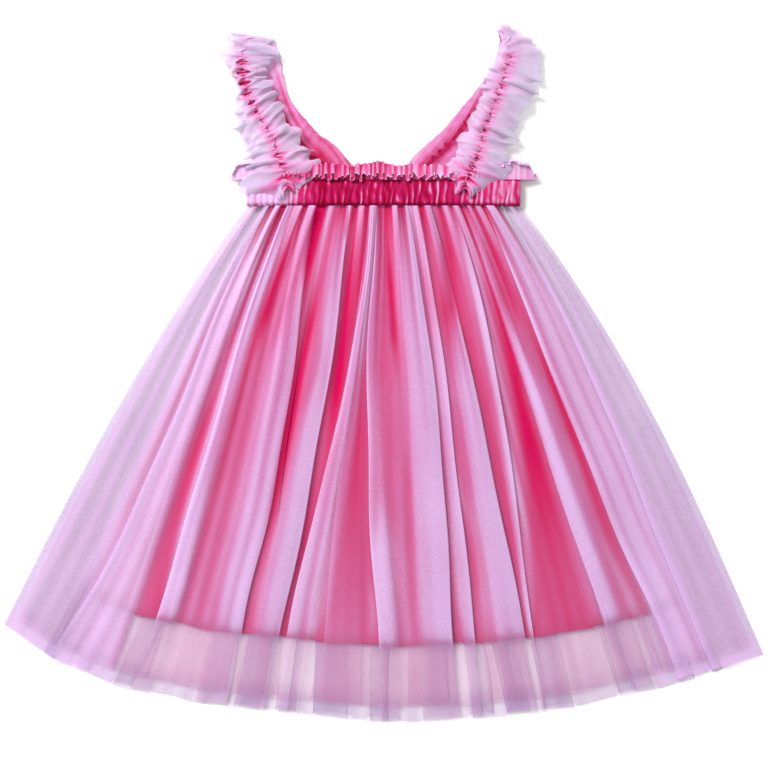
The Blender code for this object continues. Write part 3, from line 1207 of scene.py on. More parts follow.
@dataclass
class Skirt:
    """The skirt: outer tulle, inner tulle and lining, each a back and a front sheet."""

    outline: SkirtOutline
    outer: bpy.types.Material
    inner: bpy.types.Material
    satin: bpy.types.Material

    LINING_LENGTH = 0.850
    LINING_INSET = 0.085
    INNER_LENGTH = 0.975
    INNER_INSET = 0.012
    LOWEST = 0.25 * MM

    def tulle_sheet(self, face: Face, is_outer: bool) -> SkirtSheet:
        """Size one tulle sheet.

        Args:
            face: Which half of the skirt it is.
            is_outer: Whether it is the outer tulle, not the inner one.

        Returns:
            The sheet, not yet laid.
        """
        folds = OUTER_FOLDS if is_outer else INNER_FOLDS
        front = face is Face.FRONT
        return SkirtSheet(
            name=f"tulle_skirt_{face.value}" if is_outer else f"inner_tulle_{face.value}",
            outline=self.outline,
            folds=folds if front else mirrored(folds),
            length=1.0 if is_outer else self.INNER_LENGTH,
            inset=0.0 if is_outer else self.INNER_INSET,
            layer_gap=(0.9 if is_outer else 0.7) * MM if front else 0.4 * MM,
            ripple=(0.45 * MM, 1.1 * MM) if front else (0.2 * MM, 0.4 * MM),
            ripple_length=15 * MM,
            hem_step=3.0 * MM,
            pitch=(1.4 if is_outer else 1.8) * MM if front else 2.4 * MM,
            rows=84 if front else 40,
            seed=(11 if is_outer else 31) + (0 if front else 100),
            look=OUTER_LOOK if is_outer else INNER_LOOK,
            drifts=FRONT_DRIFTS if front else (),
        )

    def lining_sheet(self, face: Face) -> SkirtSheet:
        """Size one lining sheet.

        Args:
            face: Which half of the skirt it is.

        Returns:
            The sheet, not yet laid.
        """
        front = face is Face.FRONT
        return SkirtSheet(
            name=f"lining_{face.value}",
            outline=self.outline,
            folds=LINING_FOLDS if front else mirrored(LINING_FOLDS),
            length=self.LINING_LENGTH,
            inset=self.LINING_INSET,
            layer_gap=0.6 * MM,
            ripple=(0.5 * MM, 0.7 * MM) if front else (0.2 * MM, 0.3 * MM),
            ripple_length=26 * MM,
            hem_step=4.0 * MM,
            pitch=2.4 * MM,
            rows=48,
            seed=51 if front else 71,
            look=PLAIN_LOOK,
        )

    def build(self) -> None:
        """Lay the six sheets from the table up."""
        pile = Pile(self.LOWEST)
        self.lay(self.tulle_sheet(Face.BACK, True), self.outer, "tulle", pile)
        self.lay(self.tulle_sheet(Face.BACK, False), self.inner, "tulle", pile)
        self.lay(self.lining_sheet(Face.BACK), self.satin, "satin", pile)
        self.lay(self.lining_sheet(Face.FRONT), self.satin, "satin", pile)
        self.lay(self.tulle_sheet(Face.FRONT, False), self.inner, "tulle", pile)
        self.lay(self.tulle_sheet(Face.FRONT, True), self.outer, "tulle", pile)

    def lay(self, sheet: SkirtSheet, material: bpy.types.Material, slot: str, pile: Pile) -> None:
        """Args:
            sheet: The sheet's sizes.
            material: What it is made of.
            slot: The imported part's name for that material.
            pile: What is laid already; the sheet is added to it.
        """
        points, readings = sheet.build(pile)
        piece = cloth(sheet.name + "_cloth", points, readings if slot == "tulle" else {})
        piece.data.materials.append(material)
        declare_sheet(piece, sheet.name, slot, *sheet.cut())


def declare_sheet(
    piece: bpy.types.Object, node: str, slot: str, cut: tuple[float, float], area: float
) -> None:
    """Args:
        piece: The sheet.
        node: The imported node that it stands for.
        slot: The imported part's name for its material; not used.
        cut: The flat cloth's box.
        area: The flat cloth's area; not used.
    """
    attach(piece, ROOT)
    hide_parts(node)
    LOG.info("%s: cut %.0f x %.0f mm", piece.name, cut[0] / MM, cut[1] / MM)


# ---------------------------------------------------------------------------------------- the bodice
def run_length(line: Array) -> float:
    """The length of a line of points."""
    return float(np.linalg.norm(np.diff(line, axis=0), axis=1).sum())


def soft_least(first: Array, second: Array) -> Array:
    """The smaller of two positive values, rounded where they are alike."""
    return (first**-3.0 + second**-3.0) ** (-1 / 3)


def strip_cut(points: Array) -> tuple[tuple[float, float], float]:
    """Unfold a gathered frill to the strip that it is cut as.

    Args:
        points: The frill's grid, its rows along the strip.

    Returns:
        Its box's length and width, and its area.
    """
    lengths = [run_length(row) for row in points]
    widths = [run_length(points[:, column]) for column in range(0, points.shape[1], 4)]
    return (max(lengths), max(widths)), float(np.mean(lengths)) * float(np.mean(widths))


@dataclass(frozen=True)
class Gathers:
    """A row of gathers of uneven width: rounded ridges with sharp dips between them.

    Args:
        seed: Picks the unevenness.
        pitch: The mean width of a gather.
        unevenness: How far the gathers stray from their even places, in gathers.
    """

    seed: int
    pitch: float
    unevenness: float = 0.30

    def phase(self, along: Array, across: Array | float = 0.0) -> Array:
        """Count the gathers passed at a place.

        Args:
            along: The place along the row.
            across: The place across it, which shifts the pattern slowly.

        Returns:
            The gathers passed.
        """
        wander = Wander(self.seed, 5.5 * self.pitch).at(along, across)
        return along / self.pitch + self.unevenness * wander

    def ridge(self, along: Array, across: Array | float = 0.0) -> Array:
        """The gathers' height at the same places, from 0 in a dip to 1 on a ridge."""
        return np.abs(np.sin(math.pi * self.phase(along, across))) ** 0.8


@dataclass
class ChestBand:
    """The elasticated chest band: a shirred casing and the curly heading above it, all round."""

    net: bpy.types.Material
    heading_net: bpy.types.Material

    CASING_GATHERS = (Gathers(5, 4.6 * MM), Gathers(8, 6.0 * MM))
    HEADING_WAVES = Gathers(17, 4.6 * MM, 0.5)
    ROWS = 18
    CASING_COLUMNS = 396
    HEADING_COLUMNS = {Face.FRONT: 760, Face.BACK: 360}
    END_TURN = 5 * MM
    HEADING_HEIGHT = 10.8 * MM
    HEADING_OVERLAP = 0.4 * MM

    def build(self) -> None:
        """Build the four pieces."""
        for face in Face:
            self.casing(face)
            self.heading(face)

    def casing(self, face: Face) -> None:
        """Build the shirred casing of one half of the band.

        Args:
            face: Which half.
        """
        low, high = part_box(f"band_{face.value}")
        x = np.linspace(low.x, high.x, self.CASING_COLUMNS)[None, :]
        v = np.linspace(0.0, 1.0, self.ROWS)[:, None]
        first, second = (gathers.ridge(x, 3 * v) for gathers in self.CASING_GATHERS)
        ridge = between(first, second, 0.65 * smoothstep(v * 1.2 - 0.1))
        seam = smoothstep(v / 0.12) * smoothstep((1 - v) / 0.10)
        puff = np.sin(math.pi * v) ** 0.6
        turn = np.clip((np.abs(x) - high.x + self.END_TURN) / self.END_TURN, 0, 1)
        drop = 1 - np.sqrt(1 - turn**2)
        if face is Face.FRONT:
            relief = 0.9 * MM * puff + 1.25 * MM * ridge * (0.35 + 0.65 * seam) - 1.6 * MM * (1 - seam)
            z = low.z + 3.0 * MM + relief - 3.0 * MM * drop
        else:
            relief = 0.3 * MM * puff + 0.5 * MM * ridge * seam
            z = low.z + 0.9 * MM - relief + 2.4 * MM * drop
        y = between(low.y, high.y, v) + 0 * x
        points = np.stack([x + 0 * v, y, z], axis=2)
        paleness = self.casing_paleness(x, v, ridge, seam)
        piece = cloth(f"band_{face.value}_casing", points, {PALENESS: paleness})
        piece.data.materials.append(self.net)
        width, length = run_length(points[self.ROWS // 2]), run_length(points[:, self.CASING_COLUMNS // 2])
        declare_sheet(piece, f"band_{face.value}", "gathered_tulle", (width, length), width * length)

    def casing_paleness(self, x: Array, v: Array, ridge: Array, seam: Array) -> Array:
        """Work out how much net lies over the satin, most on the ridges and towards the sides, with
        painted shade along the seams.

        Args:
            x: Where each column lies across the dress.
            v: 0 at the casing's lower seam, 1 at the upper one.
            ridge: The gathers' height, 0 to 1.
            seam: 0 on a seam's stitching, 1 away from it.

        Returns:
            The paleness of each point.
        """
        left = smoothstep((-x - 45 * MM) / (35 * MM))
        right = smoothstep((x - 25 * MM) / (60 * MM))
        patches = 0.09 * Wander(23, 22 * MM).at(x)
        deep = 0.10 * np.exp(-(((x + 38 * MM) / (10 * MM)) ** 2))
        along = 0.26 + 0.86 * left + 0.40 * right + patches - deep
        narrow = ridge**3 * (0.75 + 0.5 * Wander(37, 9 * MM).at(x, v))
        contrast = 0.72 - 0.26 * smoothstep((np.abs(x) - 20 * MM) / (50 * MM))
        # Along both seams the colour is darkened: partly where the stitching holds the net close on the
        # satin, and partly painted shade, the heading's shadow on the upper seam and the crease's on the
        # lower one.
        return along + contrast * (narrow - 0.34) - 0.45 * (1 - seam)

    def heading(self, face: Face) -> None:
        """Build the curly heading of one half of the band.

        Args:
            face: Which half.
        """
        low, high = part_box(f"heading_{face.value}")
        x = np.linspace(low.x, high.x, self.HEADING_COLUMNS[face])[None, :]
        v = np.linspace(0.0, 1.0, self.ROWS)[:, None]
        lean = 2.4 * v * Wander(35, 14 * MM).at(x)
        phase = 2 * math.pi * self.HEADING_WAVES.phase(x, 0.6 * v) + lean
        side = smoothstep((np.abs(x) - 60 * MM) / (30 * MM))
        points = self.heading_points(face, low.z, x, v, phase, side)
        paleness = self.heading_paleness(x, v, phase, side)
        piece = cloth(f"heading_{face.value}_frill", points, {PALENESS: paleness})
        piece.data.materials.append(self.heading_net)
        declare_sheet(piece, f"heading_{face.value}", "ruffle_tulle", *strip_cut(points))

    def heading_points(
        self, face: Face, floor: float, x: Array, v: Array, phase: Array, side: Array
    ) -> Array:
        """Shape the heading: it stands up from the band, turns over forwards and curls.

        Args:
            face: Which half of the band it is on.
            floor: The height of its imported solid's underside.
            x: Where each column lies across the dress.
            v: 0 at the stitching, 1 at the free edge.
            phase: The curls' phase, in radians.
            side: 0 in the middle of the band, 1 towards its ends.

        Returns:
            The heading's grid.
        """
        front = face is Face.FRONT
        free = v**0.9
        turnover = smoothstep((v - 0.42) / 0.58)
        end = smoothstep((np.abs(x) - 84 * MM) / (12 * MM))
        size = (0.75 + 0.35 * Wander(27, 24 * MM).at(x)) * (1.0 if front else 0.45)
        curl_x = -0.95 * MM * free * size * np.sin(2 * phase)
        size = size * (1 - 0.45 * side) * (1 - 0.8 * end)
        curl_y = 2.3 * MM * (0.40 + 0.60 * turnover) * free * size * np.sin(phase)
        curl_z = 1.2 * MM * free * size * np.cos(phase)

        bump = 2.4 * MM * np.exp(-(((x + 4 * MM) / (7 * MM)) ** 2))
        tall = self.HEADING_HEIGHT + 2.4 * MM * side + 1.1 * MM * Wander(29, 20 * MM).at(x) + bump
        fall = between(0.84, 0.16, side) * tall * (1 + 0.24 * Wander(31, 9 * MM).at(x))
        tufts = 0.9 * MM * np.sin(math.pi * np.minimum(v, 0.9)) * Wander(33, 5 * MM).at(x, 2 * v)
        risen = np.minimum(v / 0.5, 1)
        up = tall * np.sin(0.5 * math.pi * risen) - fall * turnover
        up = up + curl_y + tufts * (1 - end) * (1.0 if front else 0.3)
        turn = np.clip((np.abs(x) - 92 * MM) / (16 * MM), 0, 1)
        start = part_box(f"band_{face.value}")[1].y - self.HEADING_OVERLAP
        y = start + up * np.sqrt(1 - 0.9 * turn**6)
        if front:
            rise = 2.0 * MM * risen + 2.2 * MM * turnover
            z = floor + 3.3 * MM + rise + curl_z - 3.6 * MM * (1 - np.sqrt(1 - 0.96 * turn**2))
        else:
            z = floor + 0.9 * MM + 0.8 * MM * v + 0.5 * curl_z
        return np.stack([x + curl_x, y, np.maximum(z, 0.3 * MM)], axis=2)

    def heading_paleness(self, x: Array, v: Array, phase: Array, side: Array) -> Array:
        """Work out how pale the heading is: most at its free edge and towards the sides, with a painted
        highlight on each curl.

        Args:
            x: Where each column lies across the dress.
            v: 0 at the stitching, 1 at the free edge.
            phase: The curls' phase, in radians.
            side: 0 in the middle of the band, 1 towards its ends.

        Returns:
            The paleness of each point.
        """
        dip = 0.5 - 0.5 * np.sin(phase)
        # The free edge is paler partly where the net turns over on itself and partly as a painted
        # highlight; the side of each curl that stands up towards the key is a painted highlight.
        rim_and_highlight = 0.36 * smoothstep((v - 0.86) / 0.10) + 0.22 * np.sin(phase + 0.6) * v**0.9
        left_end = 0.34 * smoothstep((-x - 84 * MM) / (12 * MM))
        rightwards = 0.20 * smoothstep((x + 16 * MM) / (40 * MM))
        paleness = 0.34 + 0.24 * v + rim_and_highlight - 0.52 * dip * (1 - 0.5 * v) * (1 - 0.7 * side)
        return paleness + 0.36 * side + left_end + rightwards


@dataclass(frozen=True)
class Station:
    """A place on a strap's line.

    Args:
        x: Across the dress.
        y: Towards the shoulders.
        z: Up from the table.
        outer: How far the frill away from the neck reaches.
        inner: How far the frill towards the neck reaches.
        bare: How much of the core's half width the frills leave bare; below 0 they hide it.
    """

    x: float
    y: float
    z: float
    outer: float
    inner: float
    bare: float


LEFT_STATIONS = (
    Station(-0.0690, 0.1330, 0.0101, 0.025, 0.030, 0.0000),
    Station(-0.0725, 0.1450, 0.0100, 0.030, 0.031, 0.0006),
    Station(-0.0755, 0.1560, 0.0098, 0.022, 0.021, 0.0012),
    Station(-0.0800, 0.1700, 0.0094, 0.023, 0.018, 0.0002),
    Station(-0.0875, 0.1820, 0.0090, 0.022, 0.017, 0.0006),
    Station(-0.0955, 0.1960, 0.0088, 0.0145, 0.019, 0.0012),
    Station(-0.1000, 0.2100, 0.0086, 0.006, 0.018, 0.0026),
    Station(-0.1020, 0.2230, 0.0082, 0.013, 0.0215, 0.0022),
    Station(-0.1010, 0.2350, 0.0070, 0.0155, 0.0240, -0.0025),
    Station(-0.0980, 0.2430, 0.0040, 0.012, 0.018, -0.0025),
    Station(-0.0970, 0.2350, 0.0009, 0.011, 0.0200, 0.0010),
    Station(-0.0940, 0.2200, 0.0006, 0.011, 0.0210, 0.0010),
    Station(-0.0880, 0.2060, 0.0006, 0.011, 0.0180, 0.0010),
    Station(-0.0800, 0.1900, 0.0006, 0.011, 0.0155, 0.0010),
    Station(-0.0690, 0.1740, 0.0006, 0.011, 0.0165, 0.0010),
    Station(-0.0570, 0.1610, 0.0006, 0.005, 0.0165, 0.0010),
    Station(-0.0480, 0.1546, 0.0022, 0.008, 0.0168, 0.0010),
    Station(-0.0400, 0.1470, 0.0038, 0.008, 0.0195, 0.0010),
)
RIGHT_STATIONS = (
    Station(0.0590, 0.1330, 0.0101, 0.019, 0.017, 0.0006),
    Station(0.0640, 0.1480, 0.0100, 0.022, 0.018, 0.0008),
    Station(0.0695, 0.1600, 0.0098, 0.021, 0.018, 0.0002),
    Station(0.0715, 0.1720, 0.0094, 0.020, 0.014, 0.0002),
    Station(0.0755, 0.1830, 0.0090, 0.023, 0.011, 0.0004),
    Station(0.0810, 0.1950, 0.0088, 0.017, 0.012, 0.0004),
    Station(0.0850, 0.2080, 0.0086, 0.026, 0.013, 0.0005),
    Station(0.0885, 0.2180, 0.0082, 0.023, 0.012, 0.0005),
    Station(0.0915, 0.2280, 0.0074, 0.026, 0.0105, 0.0002),
    Station(0.0905, 0.2400, 0.0064, 0.016, 0.006, -0.0020),
    Station(0.0865, 0.2502, 0.0040, 0.001, 0.001, -0.0020),
    Station(0.0895, 0.2400, 0.0009, 0.010, 0.0055, 0.0010),
    Station(0.0870, 0.2270, 0.0006, 0.011, 0.0055, 0.0010),
    Station(0.0820, 0.2140, 0.0006, 0.011, 0.007, 0.0010),
    Station(0.0735, 0.2000, 0.0006, 0.011, 0.0085, 0.0010),
    Station(0.0630, 0.1850, 0.0006, 0.011, 0.0100, 0.0010),
    Station(0.0500, 0.1690, 0.0006, 0.018, 0.0105, 0.0010),
    Station(0.0350, 0.1546, 0.0022, 0.014, 0.0114, 0.0010),
    Station(0.0270, 0.1470, 0.0038, 0.012, 0.0125, 0.0010),
)


# The lowest that the straps' cloth lies: the core is under its frills where they reach the table.
LOWEST_NET = 0.5 * MM
LOWEST_CORE = 0.25 * MM


class StrapLine:
    """A strap's line, from the front of the band over the shoulder to the back, smoothly drawn."""

    SIDE_ROUNDING = 6.0

    def __init__(self, side: Side, stations: Sequence[Station], pitch: float) -> None:
        """Draw the line.

        Args:
            side: Which strap it is.
            stations: The places that it passes.
            pitch: The spacing of its points.
        """
        knots = np.array([(s.x, s.y, s.z, s.outer, s.inner, s.bare) for s in stations])
        steps = np.linalg.norm(np.diff(knots[:, :3], axis=0), axis=1)
        marks = np.concatenate([[0.0], np.cumsum(steps)])
        self.length = float(marks[-1])
        self.along = np.linspace(0.0, self.length, max(8, round(self.length / pitch)))
        drawn = self.draw(knots, steps, marks)
        self.places = drawn[:, :3]
        self.reach = {Edge.OUTER: drawn[:, 3], Edge.INNER: drawn[:, 4]}
        self.bare = drawn[:, 5]
        shoulder = marks[int(np.argmax([s.y for s in stations]))]
        self.front = smoothstep(0.5 - (self.along - shoulder) / (14 * MM))
        heading = np.gradient(self.places, self.along, axis=0)
        self.heading = heading / np.linalg.norm(heading, axis=1, keepdims=True)
        self.outward = self.away_from_neck(side)
        self.face = np.cross(self.heading, self.outward) * -side.value

    def draw(self, knots: Array, steps: Array, marks: Array) -> Array:
        """Draw the smooth cubic through the stations.

        Args:
            knots: A row for each station.
            steps: The distance from each station to the next.
            marks: Each station's distance along the line.

        Returns:
            The stations' columns at each point along the line.
        """
        slopes = np.gradient(knots, marks, axis=0)
        span = np.clip(np.searchsorted(marks, self.along, side="right") - 1, 0, len(steps) - 1)
        run = steps[span][:, None]
        t = (self.along[:, None] - marks[span][:, None]) / run
        return (
            (2 * t**3 - 3 * t**2 + 1) * knots[span]
            + (t**3 - 2 * t**2 + t) * run * slopes[span]
            + (3 * t**2 - 2 * t**3) * knots[span + 1]
            + (t**3 - t**2) * run * slopes[span + 1]
        )

    def away_from_neck(self, side: Side) -> Array:
        """Find the level direction square to the line, away from the neck.

        Args:
            side: Which strap it is.

        Returns:
            A unit direction for each point.
        """
        flat = np.stack([self.heading[:, 1], -self.heading[:, 0]], axis=1)
        flat *= np.sign(flat[:, :1] * side.value + TINY)
        smooth = soften(flat.T, self.SIDE_ROUNDING)
        away = np.stack([smooth[0], smooth[1], np.zeros_like(smooth[0])], axis=1)
        return away / np.linalg.norm(away, axis=1, keepdims=True)


class Frill:
    """One loose net frill along a strap, gathered at the core and free at its other edge."""

    ROWS = 20
    PITCH = 0.75 * MM
    FRONT_FAN = 16 * MM
    BACK_FAN = 18 * MM
    END_ROOM = 8 * MM
    LANDING = 0.6 * MM

    def __init__(self, line: StrapLine, edge: Edge, strap_seed: int) -> None:
        """Lay out the frill's grid, and its large and its fine gathers.

        Args:
            line: The strap's line.
            edge: Which edge of the strap it is sewn to.
            strap_seed: Picks the strap's unevenness.
        """
        self.line = line
        self.edge = edge
        self.strap_seed = strap_seed
        self.seed = strap_seed + (10 if edge is Edge.OUTER else 20)
        self.s = line.along[None, :]
        self.v = np.linspace(0.0, 1.0, self.ROWS)[:, None]
        self.front = line.front[None, :]
        self.wave = 2 * math.pi * Gathers(self.seed, 16.5 * MM, 0.8).phase(self.s, 0.4 * self.v)
        self.fine = Gathers(self.seed + 1, 3.6 * MM, 0.5).ridge(self.s, 0.8 * self.v)
        self.loose = between(0.12, 1.0, self.front)
        self.fan, self.across = self.spread()

    def spread(self) -> tuple[Array, Array]:
        """Spread the frill out from the core, fanned round the strap's two ends.

        Returns:
            Each point's turn from square to the strap, towards the far end of the line, and how far
            from the line it lies.
        """
        s, v = self.s, self.v
        start = self.line.bare[None, :] - 0.7 * MM
        start = start + 2.5 * MM * Wander(self.strap_seed + 3, 8.5 * MM, 3).at(s)
        start = start + 0.8 * MM * Wander(self.seed + 3, 5 * MM, 3).at(s)
        front_turn = math.radians(64) * v**0.5 * (1 - smoothstep(s / self.FRONT_FAN))
        back_turn = math.radians(40) * v**0.5 * (1 - smoothstep((self.line.length - s) / self.BACK_FAN))
        room = self.END_ROOM / np.maximum(np.sin(front_turn), 1e-3)
        reach = soft_least(self.line.reach[self.edge][None, :], room)
        lobes = 0.15 * v * np.sin(self.wave + 0.8) + 0.08 * v * Wander(self.seed + 5, 11 * MM).at(s)
        across = start + (reach - start) * v * (1 + self.loose * lobes)
        return back_turn - front_turn, across

    def lift(self, size: Array) -> Array:
        """Raise the frill off the strap in lobes, puffs and gathers.

        Args:
            size: How lively the frill is along its length.

        Returns:
            Each point's height above the strap's line.
        """
        s, v, seed = self.s, self.v, self.seed
        return (
            between(0.2, 1.7, self.front) * MM
            + 2.2 * MM * np.sin(math.pi * v) * size
            + 2.1 * MM * v**0.9 * size * np.sin(self.wave)
            + 0.8 * MM * (1 - v) ** 3 * self.fine * self.front
            + 1.5 * MM * Wander(seed + 4, 13 * MM).at(s, 2.4 * v) * size
            + 1.7 * MM * v * Wander(seed + 7, 5.5 * MM).at(s) * smoothstep(-self.fan / 0.4)
            + 0.4 * MM * (self.edge is Edge.OUTER)
        )

    def points(self) -> Array:
        """Shape the frill.

        Returns:
            The frill's grid.
        """
        line = self.line
        size = between(0.10, 1.0, self.front) * (0.8 + 0.45 * Wander(self.seed + 2, 38 * MM).at(self.s))
        lift = self.lift(size)
        out, on = np.cos(self.fan)[..., None], np.sin(self.fan)[..., None]
        direction = self.edge.value * line.outward[None] * out + line.heading[None] * on
        slide = -1.2 * MM * self.v * size * self.loose * np.sin(2 * self.wave) * np.cos(self.fan)
        points = (
            line.places[None]
            + self.across[..., None] * direction
            + slide[..., None] * line.heading[None]
            + lift[..., None] * line.face[None]
        )
        points[..., 2] -= 0.5 * (line.places[None, :, 2] - 3.0 * MM) * self.v**2 * self.front
        above = (points[..., 2] - LOWEST_NET) / self.LANDING
        points[..., 2] = LOWEST_NET + np.logaddexp(0.0, above) * self.LANDING
        return points

    def shadowed(self) -> Array:
        """Where the frill's lower end is darkened to crimson, 0 to 1: partly the satin under it showing
        through, and partly painted shade.
        """
        patch = Wander(self.strap_seed + 40, 11 * MM, 3).at(self.s, 1.2 * self.v)
        return smoothstep(patch + 0.10) * (1 - smoothstep(self.s / (36 * MM))) * (1 - 0.6 * self.v)

    def paleness(self, back_depth: float) -> Array:
        """Work out how pale the frill is: crimson at the core, partly painted shade there, and down the
        back; whitest at its free edge and raised lobes, where highlights are painted.

        Args:
            back_depth: How deep the colour is past the shoulder.

        Returns:
            The paleness of each point.
        """
        s, v, across = self.s, self.v, self.across
        from_end = s - self.line.length
        hidden = smoothstep(-self.line.bare / MM)[None, :]
        # Near the core the frill is darkened: partly the crimson core under the net, and partly painted
        # shade, most in the fine gathers' dips.
        near = np.exp(-((across / (5.0 * MM)) ** 2))
        core = 0.84 * near * (1.2 - between(0.5, self.fine, self.front)) * (1 - 0.75 * hidden)
        past_turn = smoothstep((from_end + 100 * MM) / (36 * MM))
        towards_band = smoothstep((from_end + 62 * MM) / (50 * MM))
        streak = 0.13 * Wander(self.seed + 6, 7 * MM).at(across + 0.12 * s, 12 * s)
        deepening = 0.14 + 0.38 * past_turn + 0.12 * towards_band + 1.5 * streak
        back = (1 - self.front) * (1 - hidden) * deepening * back_depth
        foot = (1 - smoothstep(s / (30 * MM))) * (0.30 if self.edge is Edge.INNER else 0.06)
        foot = 0.75 * self.shadowed() + foot * (1 - smoothstep((v - 0.80) / 0.12))
        # Painted highlight: the free edge and the raised lobes are made paler.
        rim_and_highlight = 0.20 * smoothstep((v - 0.80) / 0.20) * self.front + 0.07 * np.sin(self.wave) * v
        return 0.94 - (core + back + foot) + rim_and_highlight


@dataclass
class RuffledStrap:
    """One shoulder strap: its shirred crimson core and the net frill down each side of it.

    Args:
        side: Which strap it is.
        stations: The places that it passes.
        core_net: What the core is made of.
        frill_net: What the frills are made of.
        seed: Picks the unevenness.
        back_depth: How deep the frills' colour is past the shoulder.
    """

    side: Side
    stations: Sequence[Station]
    core_net: bpy.types.Material
    frill_net: bpy.types.Material
    seed: int
    back_depth: float

    CORE_HALF_WIDTH = 4.5 * MM
    CORE_PITCH = 0.55 * MM
    CORE_ROWS = 9
    CORE_FULLNESS = 1.2

    def build(self) -> None:
        """Build the strap's three pieces."""
        self.core()
        for edge in Edge:
            self.frill(edge)

    def core(self) -> None:
        """Build the core, a narrow casing shirred into a ladder of small gathers."""
        line = StrapLine(self.side, self.stations, self.CORE_PITCH)
        v = np.linspace(-1.0, 1.0, self.CORE_ROWS)[:, None]
        ridge = Gathers(self.seed, 2.6 * MM).ridge(line.along[None, :], 0.5 * v)
        lift = 1.0 * MM * np.sqrt(1 - 0.85 * v**2) + 0.75 * MM * ridge
        lift = lift * between(0.7, 1.0, line.front)[None, :]
        across = self.CORE_HALF_WIDTH * v
        points = (
            line.places[None]
            + across[:, :, None] * line.outward[None]
            + lift[:, :, None] * line.face[None]
        )
        points[..., 2] = np.maximum(points[..., 2], between(LOWEST_CORE, LOWEST_NET, line.front))
        hidden = smoothstep(-line.bare / MM)[None, :]
        rungs = between(0.25, 0.80, line.front)[None, :]
        paleness = 0.20 + rungs * ridge**3 * (0.7 + 0.3 * np.abs(v)) + hidden
        piece = cloth(f"strap_{self.side.word}_core", points, {PALENESS: paleness})
        piece.data.materials.append(self.core_net)
        cut = (run_length(points[self.CORE_ROWS // 2]), 2 * self.CORE_HALF_WIDTH * self.CORE_FULLNESS)
        declare_sheet(piece, f"strap_{self.side.word}", "gathered_tulle", cut, cut[0] * cut[1])

    def frill(self, edge: Edge) -> None:
        """Build the frill down one edge of the strap.

        Args:
            edge: Which edge.
        """
        frill = Frill(StrapLine(self.side, self.stations, Frill.PITCH), edge, self.seed)
        points = frill.points()
        name = f"{edge.word}_frill_{self.side.word}"
        piece = cloth(name + "_net", points, {PALENESS: frill.paleness(self.back_depth)})
        piece.data.materials.append(self.frill_net)
        declare_sheet(piece, name, "ruffle_tulle", *strip_cut(points))


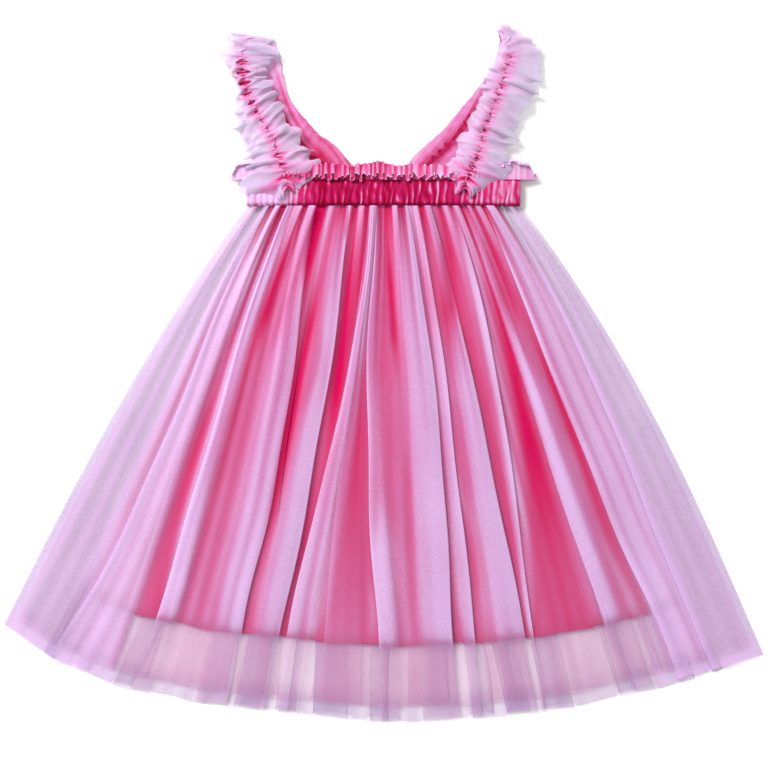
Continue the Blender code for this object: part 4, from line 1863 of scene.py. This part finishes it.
# ---------------------------------------------------------------------------------------- the studio
@dataclass(frozen=True)
class Studio:
    """A white table, soft light from the upper left, and a camera straight above.

    Args:
        look_x: Where the camera looks across the dress.
        look_y: Where it looks along the dress.
        view_width: How much of the table it sees.
        lens: Its focal length, in millimetres.
        sensor: Its sensor's width, in millimetres.
    """

    look_x: float = 0.0004
    look_y: float = -0.0073
    view_width: float = 0.5568
    lens: float = 100.0
    sensor: float = 36.0

    TABLE_SIZE = 6.0
    KEY_PLACE = (-1.1, 1.3, 1.7)
    KEY_SIZE = 0.9
    KEY_WATTS = 62.0
    SKY_STRENGTH = 0.62

    def build(self) -> None:
        """Set the table, the lights and the camera."""
        self.table()
        self.lights()
        self.camera()

    def table(self) -> None:
        """Lay a plain pale table top under the dress: matt white board, almost without a sheen."""
        bpy.ops.mesh.primitive_plane_add(size=self.TABLE_SIZE, location=(0.0, 0.0, 0.0))
        top = bpy.context.active_object
        top.name = "Table"
        finish = {"Roughness": 0.9, "Specular IOR Level": 0.1}
        material, tree, shader = plain_material("white table", finish)
        place = add_node(tree, "ShaderNodeTexCoord").outputs["Object"]
        cloud = add_node(tree, "ShaderNodeTexNoise", {"Scale": 3.0, "Detail": 2.0}, {"Vector": place})
        colour = add_node(
            tree,
            "ShaderNodeMix",
            {"data_type": "RGBA", 6: linear("F9F9F9"), 7: linear("FAFAFA")},
            {0: cloud.outputs["Fac"]},
        )
        tree.links.new(colour.outputs[2], shader.inputs["Base Color"])
        top.data.materials.append(material)

    def lights(self) -> None:
        """Set one large soft key to the upper left, under an even sky."""
        world = bpy.data.worlds.new("studio sky")
        bpy.context.scene.world = world
        world.use_nodes = True
        sky = world.node_tree.nodes["Background"]
        sky.inputs["Color"].default_value = (1.0, 1.0, 1.0, 1.0)
        sky.inputs["Strength"].default_value = self.SKY_STRENGTH
        bpy.ops.object.light_add(type="AREA", location=self.KEY_PLACE)
        key = bpy.context.active_object
        key.name = "Key"
        key.data.shape = "DISK"
        key.data.size = self.KEY_SIZE
        key.data.energy = self.KEY_WATTS
        x, y, z = key.location
        key.rotation_euler = (math.atan2(math.hypot(x, y), z), 0.0, math.atan2(-x, y) + math.pi)

    def camera(self) -> None:
        """Hang a long lens straight above the dress."""
        height = self.view_width * self.lens / self.sensor
        bpy.ops.object.camera_add(location=(self.look_x, self.look_y, height), rotation=(0.0, 0.0, 0.0))
        camera = bpy.context.active_object
        camera.name = "Camera"
        camera.data.lens = self.lens
        camera.data.sensor_width = self.sensor
        camera.data.clip_end = 20.0
        bpy.context.scene.camera = camera


OUTER_TULLE = Tulle("lilac net", thread="B8A2C8", bunched="E6C0EE", glowing="E294D0", cover=0.10)
INNER_TULLE = Tulle("pink net", thread="D49EC6", bunched="ECA8DE", glowing="EA80BE", cover=0.085)
LINING_SATIN = Satin("crimson satin", face="C80050", deep="BA0046")
CASING_NET = ShirredNet(
    "shirred net over satin", deep="940030", middle="C02064", pale="DEAEDC", sheen=0.04
)
HEADING_NET = ShirredNet("curly net", deep="A80040", middle="D65A98", pale="DCB4DC", sheen=0.1)
FRILL_NET = ShirredNet(
    "ruffle net", deep="B80850", middle="DC80BA", pale="CEBEDC", cover=0.96, thinning=0.42
)


def main() -> None:
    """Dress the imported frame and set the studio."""
    logging.basicConfig(level=logging.INFO, format="%(name)s: %(message)s")
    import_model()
    scene = bpy.context.scene
    scene.view_settings.view_transform = "Standard"
    scene.cycles.transparent_max_bounces = 64

    band_low, band_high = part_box("band_front")
    outline = SkirtOutline(band_half_width=band_high.x, band_y=band_low.y)
    Skirt(outline, OUTER_TULLE.material(), INNER_TULLE.material(), LINING_SATIN.material()).build()
    shirred, frills = CASING_NET.material(), FRILL_NET.material()
    ChestBand(shirred, HEADING_NET.material()).build()
    RuffledStrap(Side.LEFT, LEFT_STATIONS, shirred, frills, seed=201, back_depth=1.05).build()
    RuffledStrap(Side.RIGHT, RIGHT_STATIONS, shirred, frills, seed=301, back_depth=0.62).build()
    Studio().build()


if __name__ == "__main__":
    main()
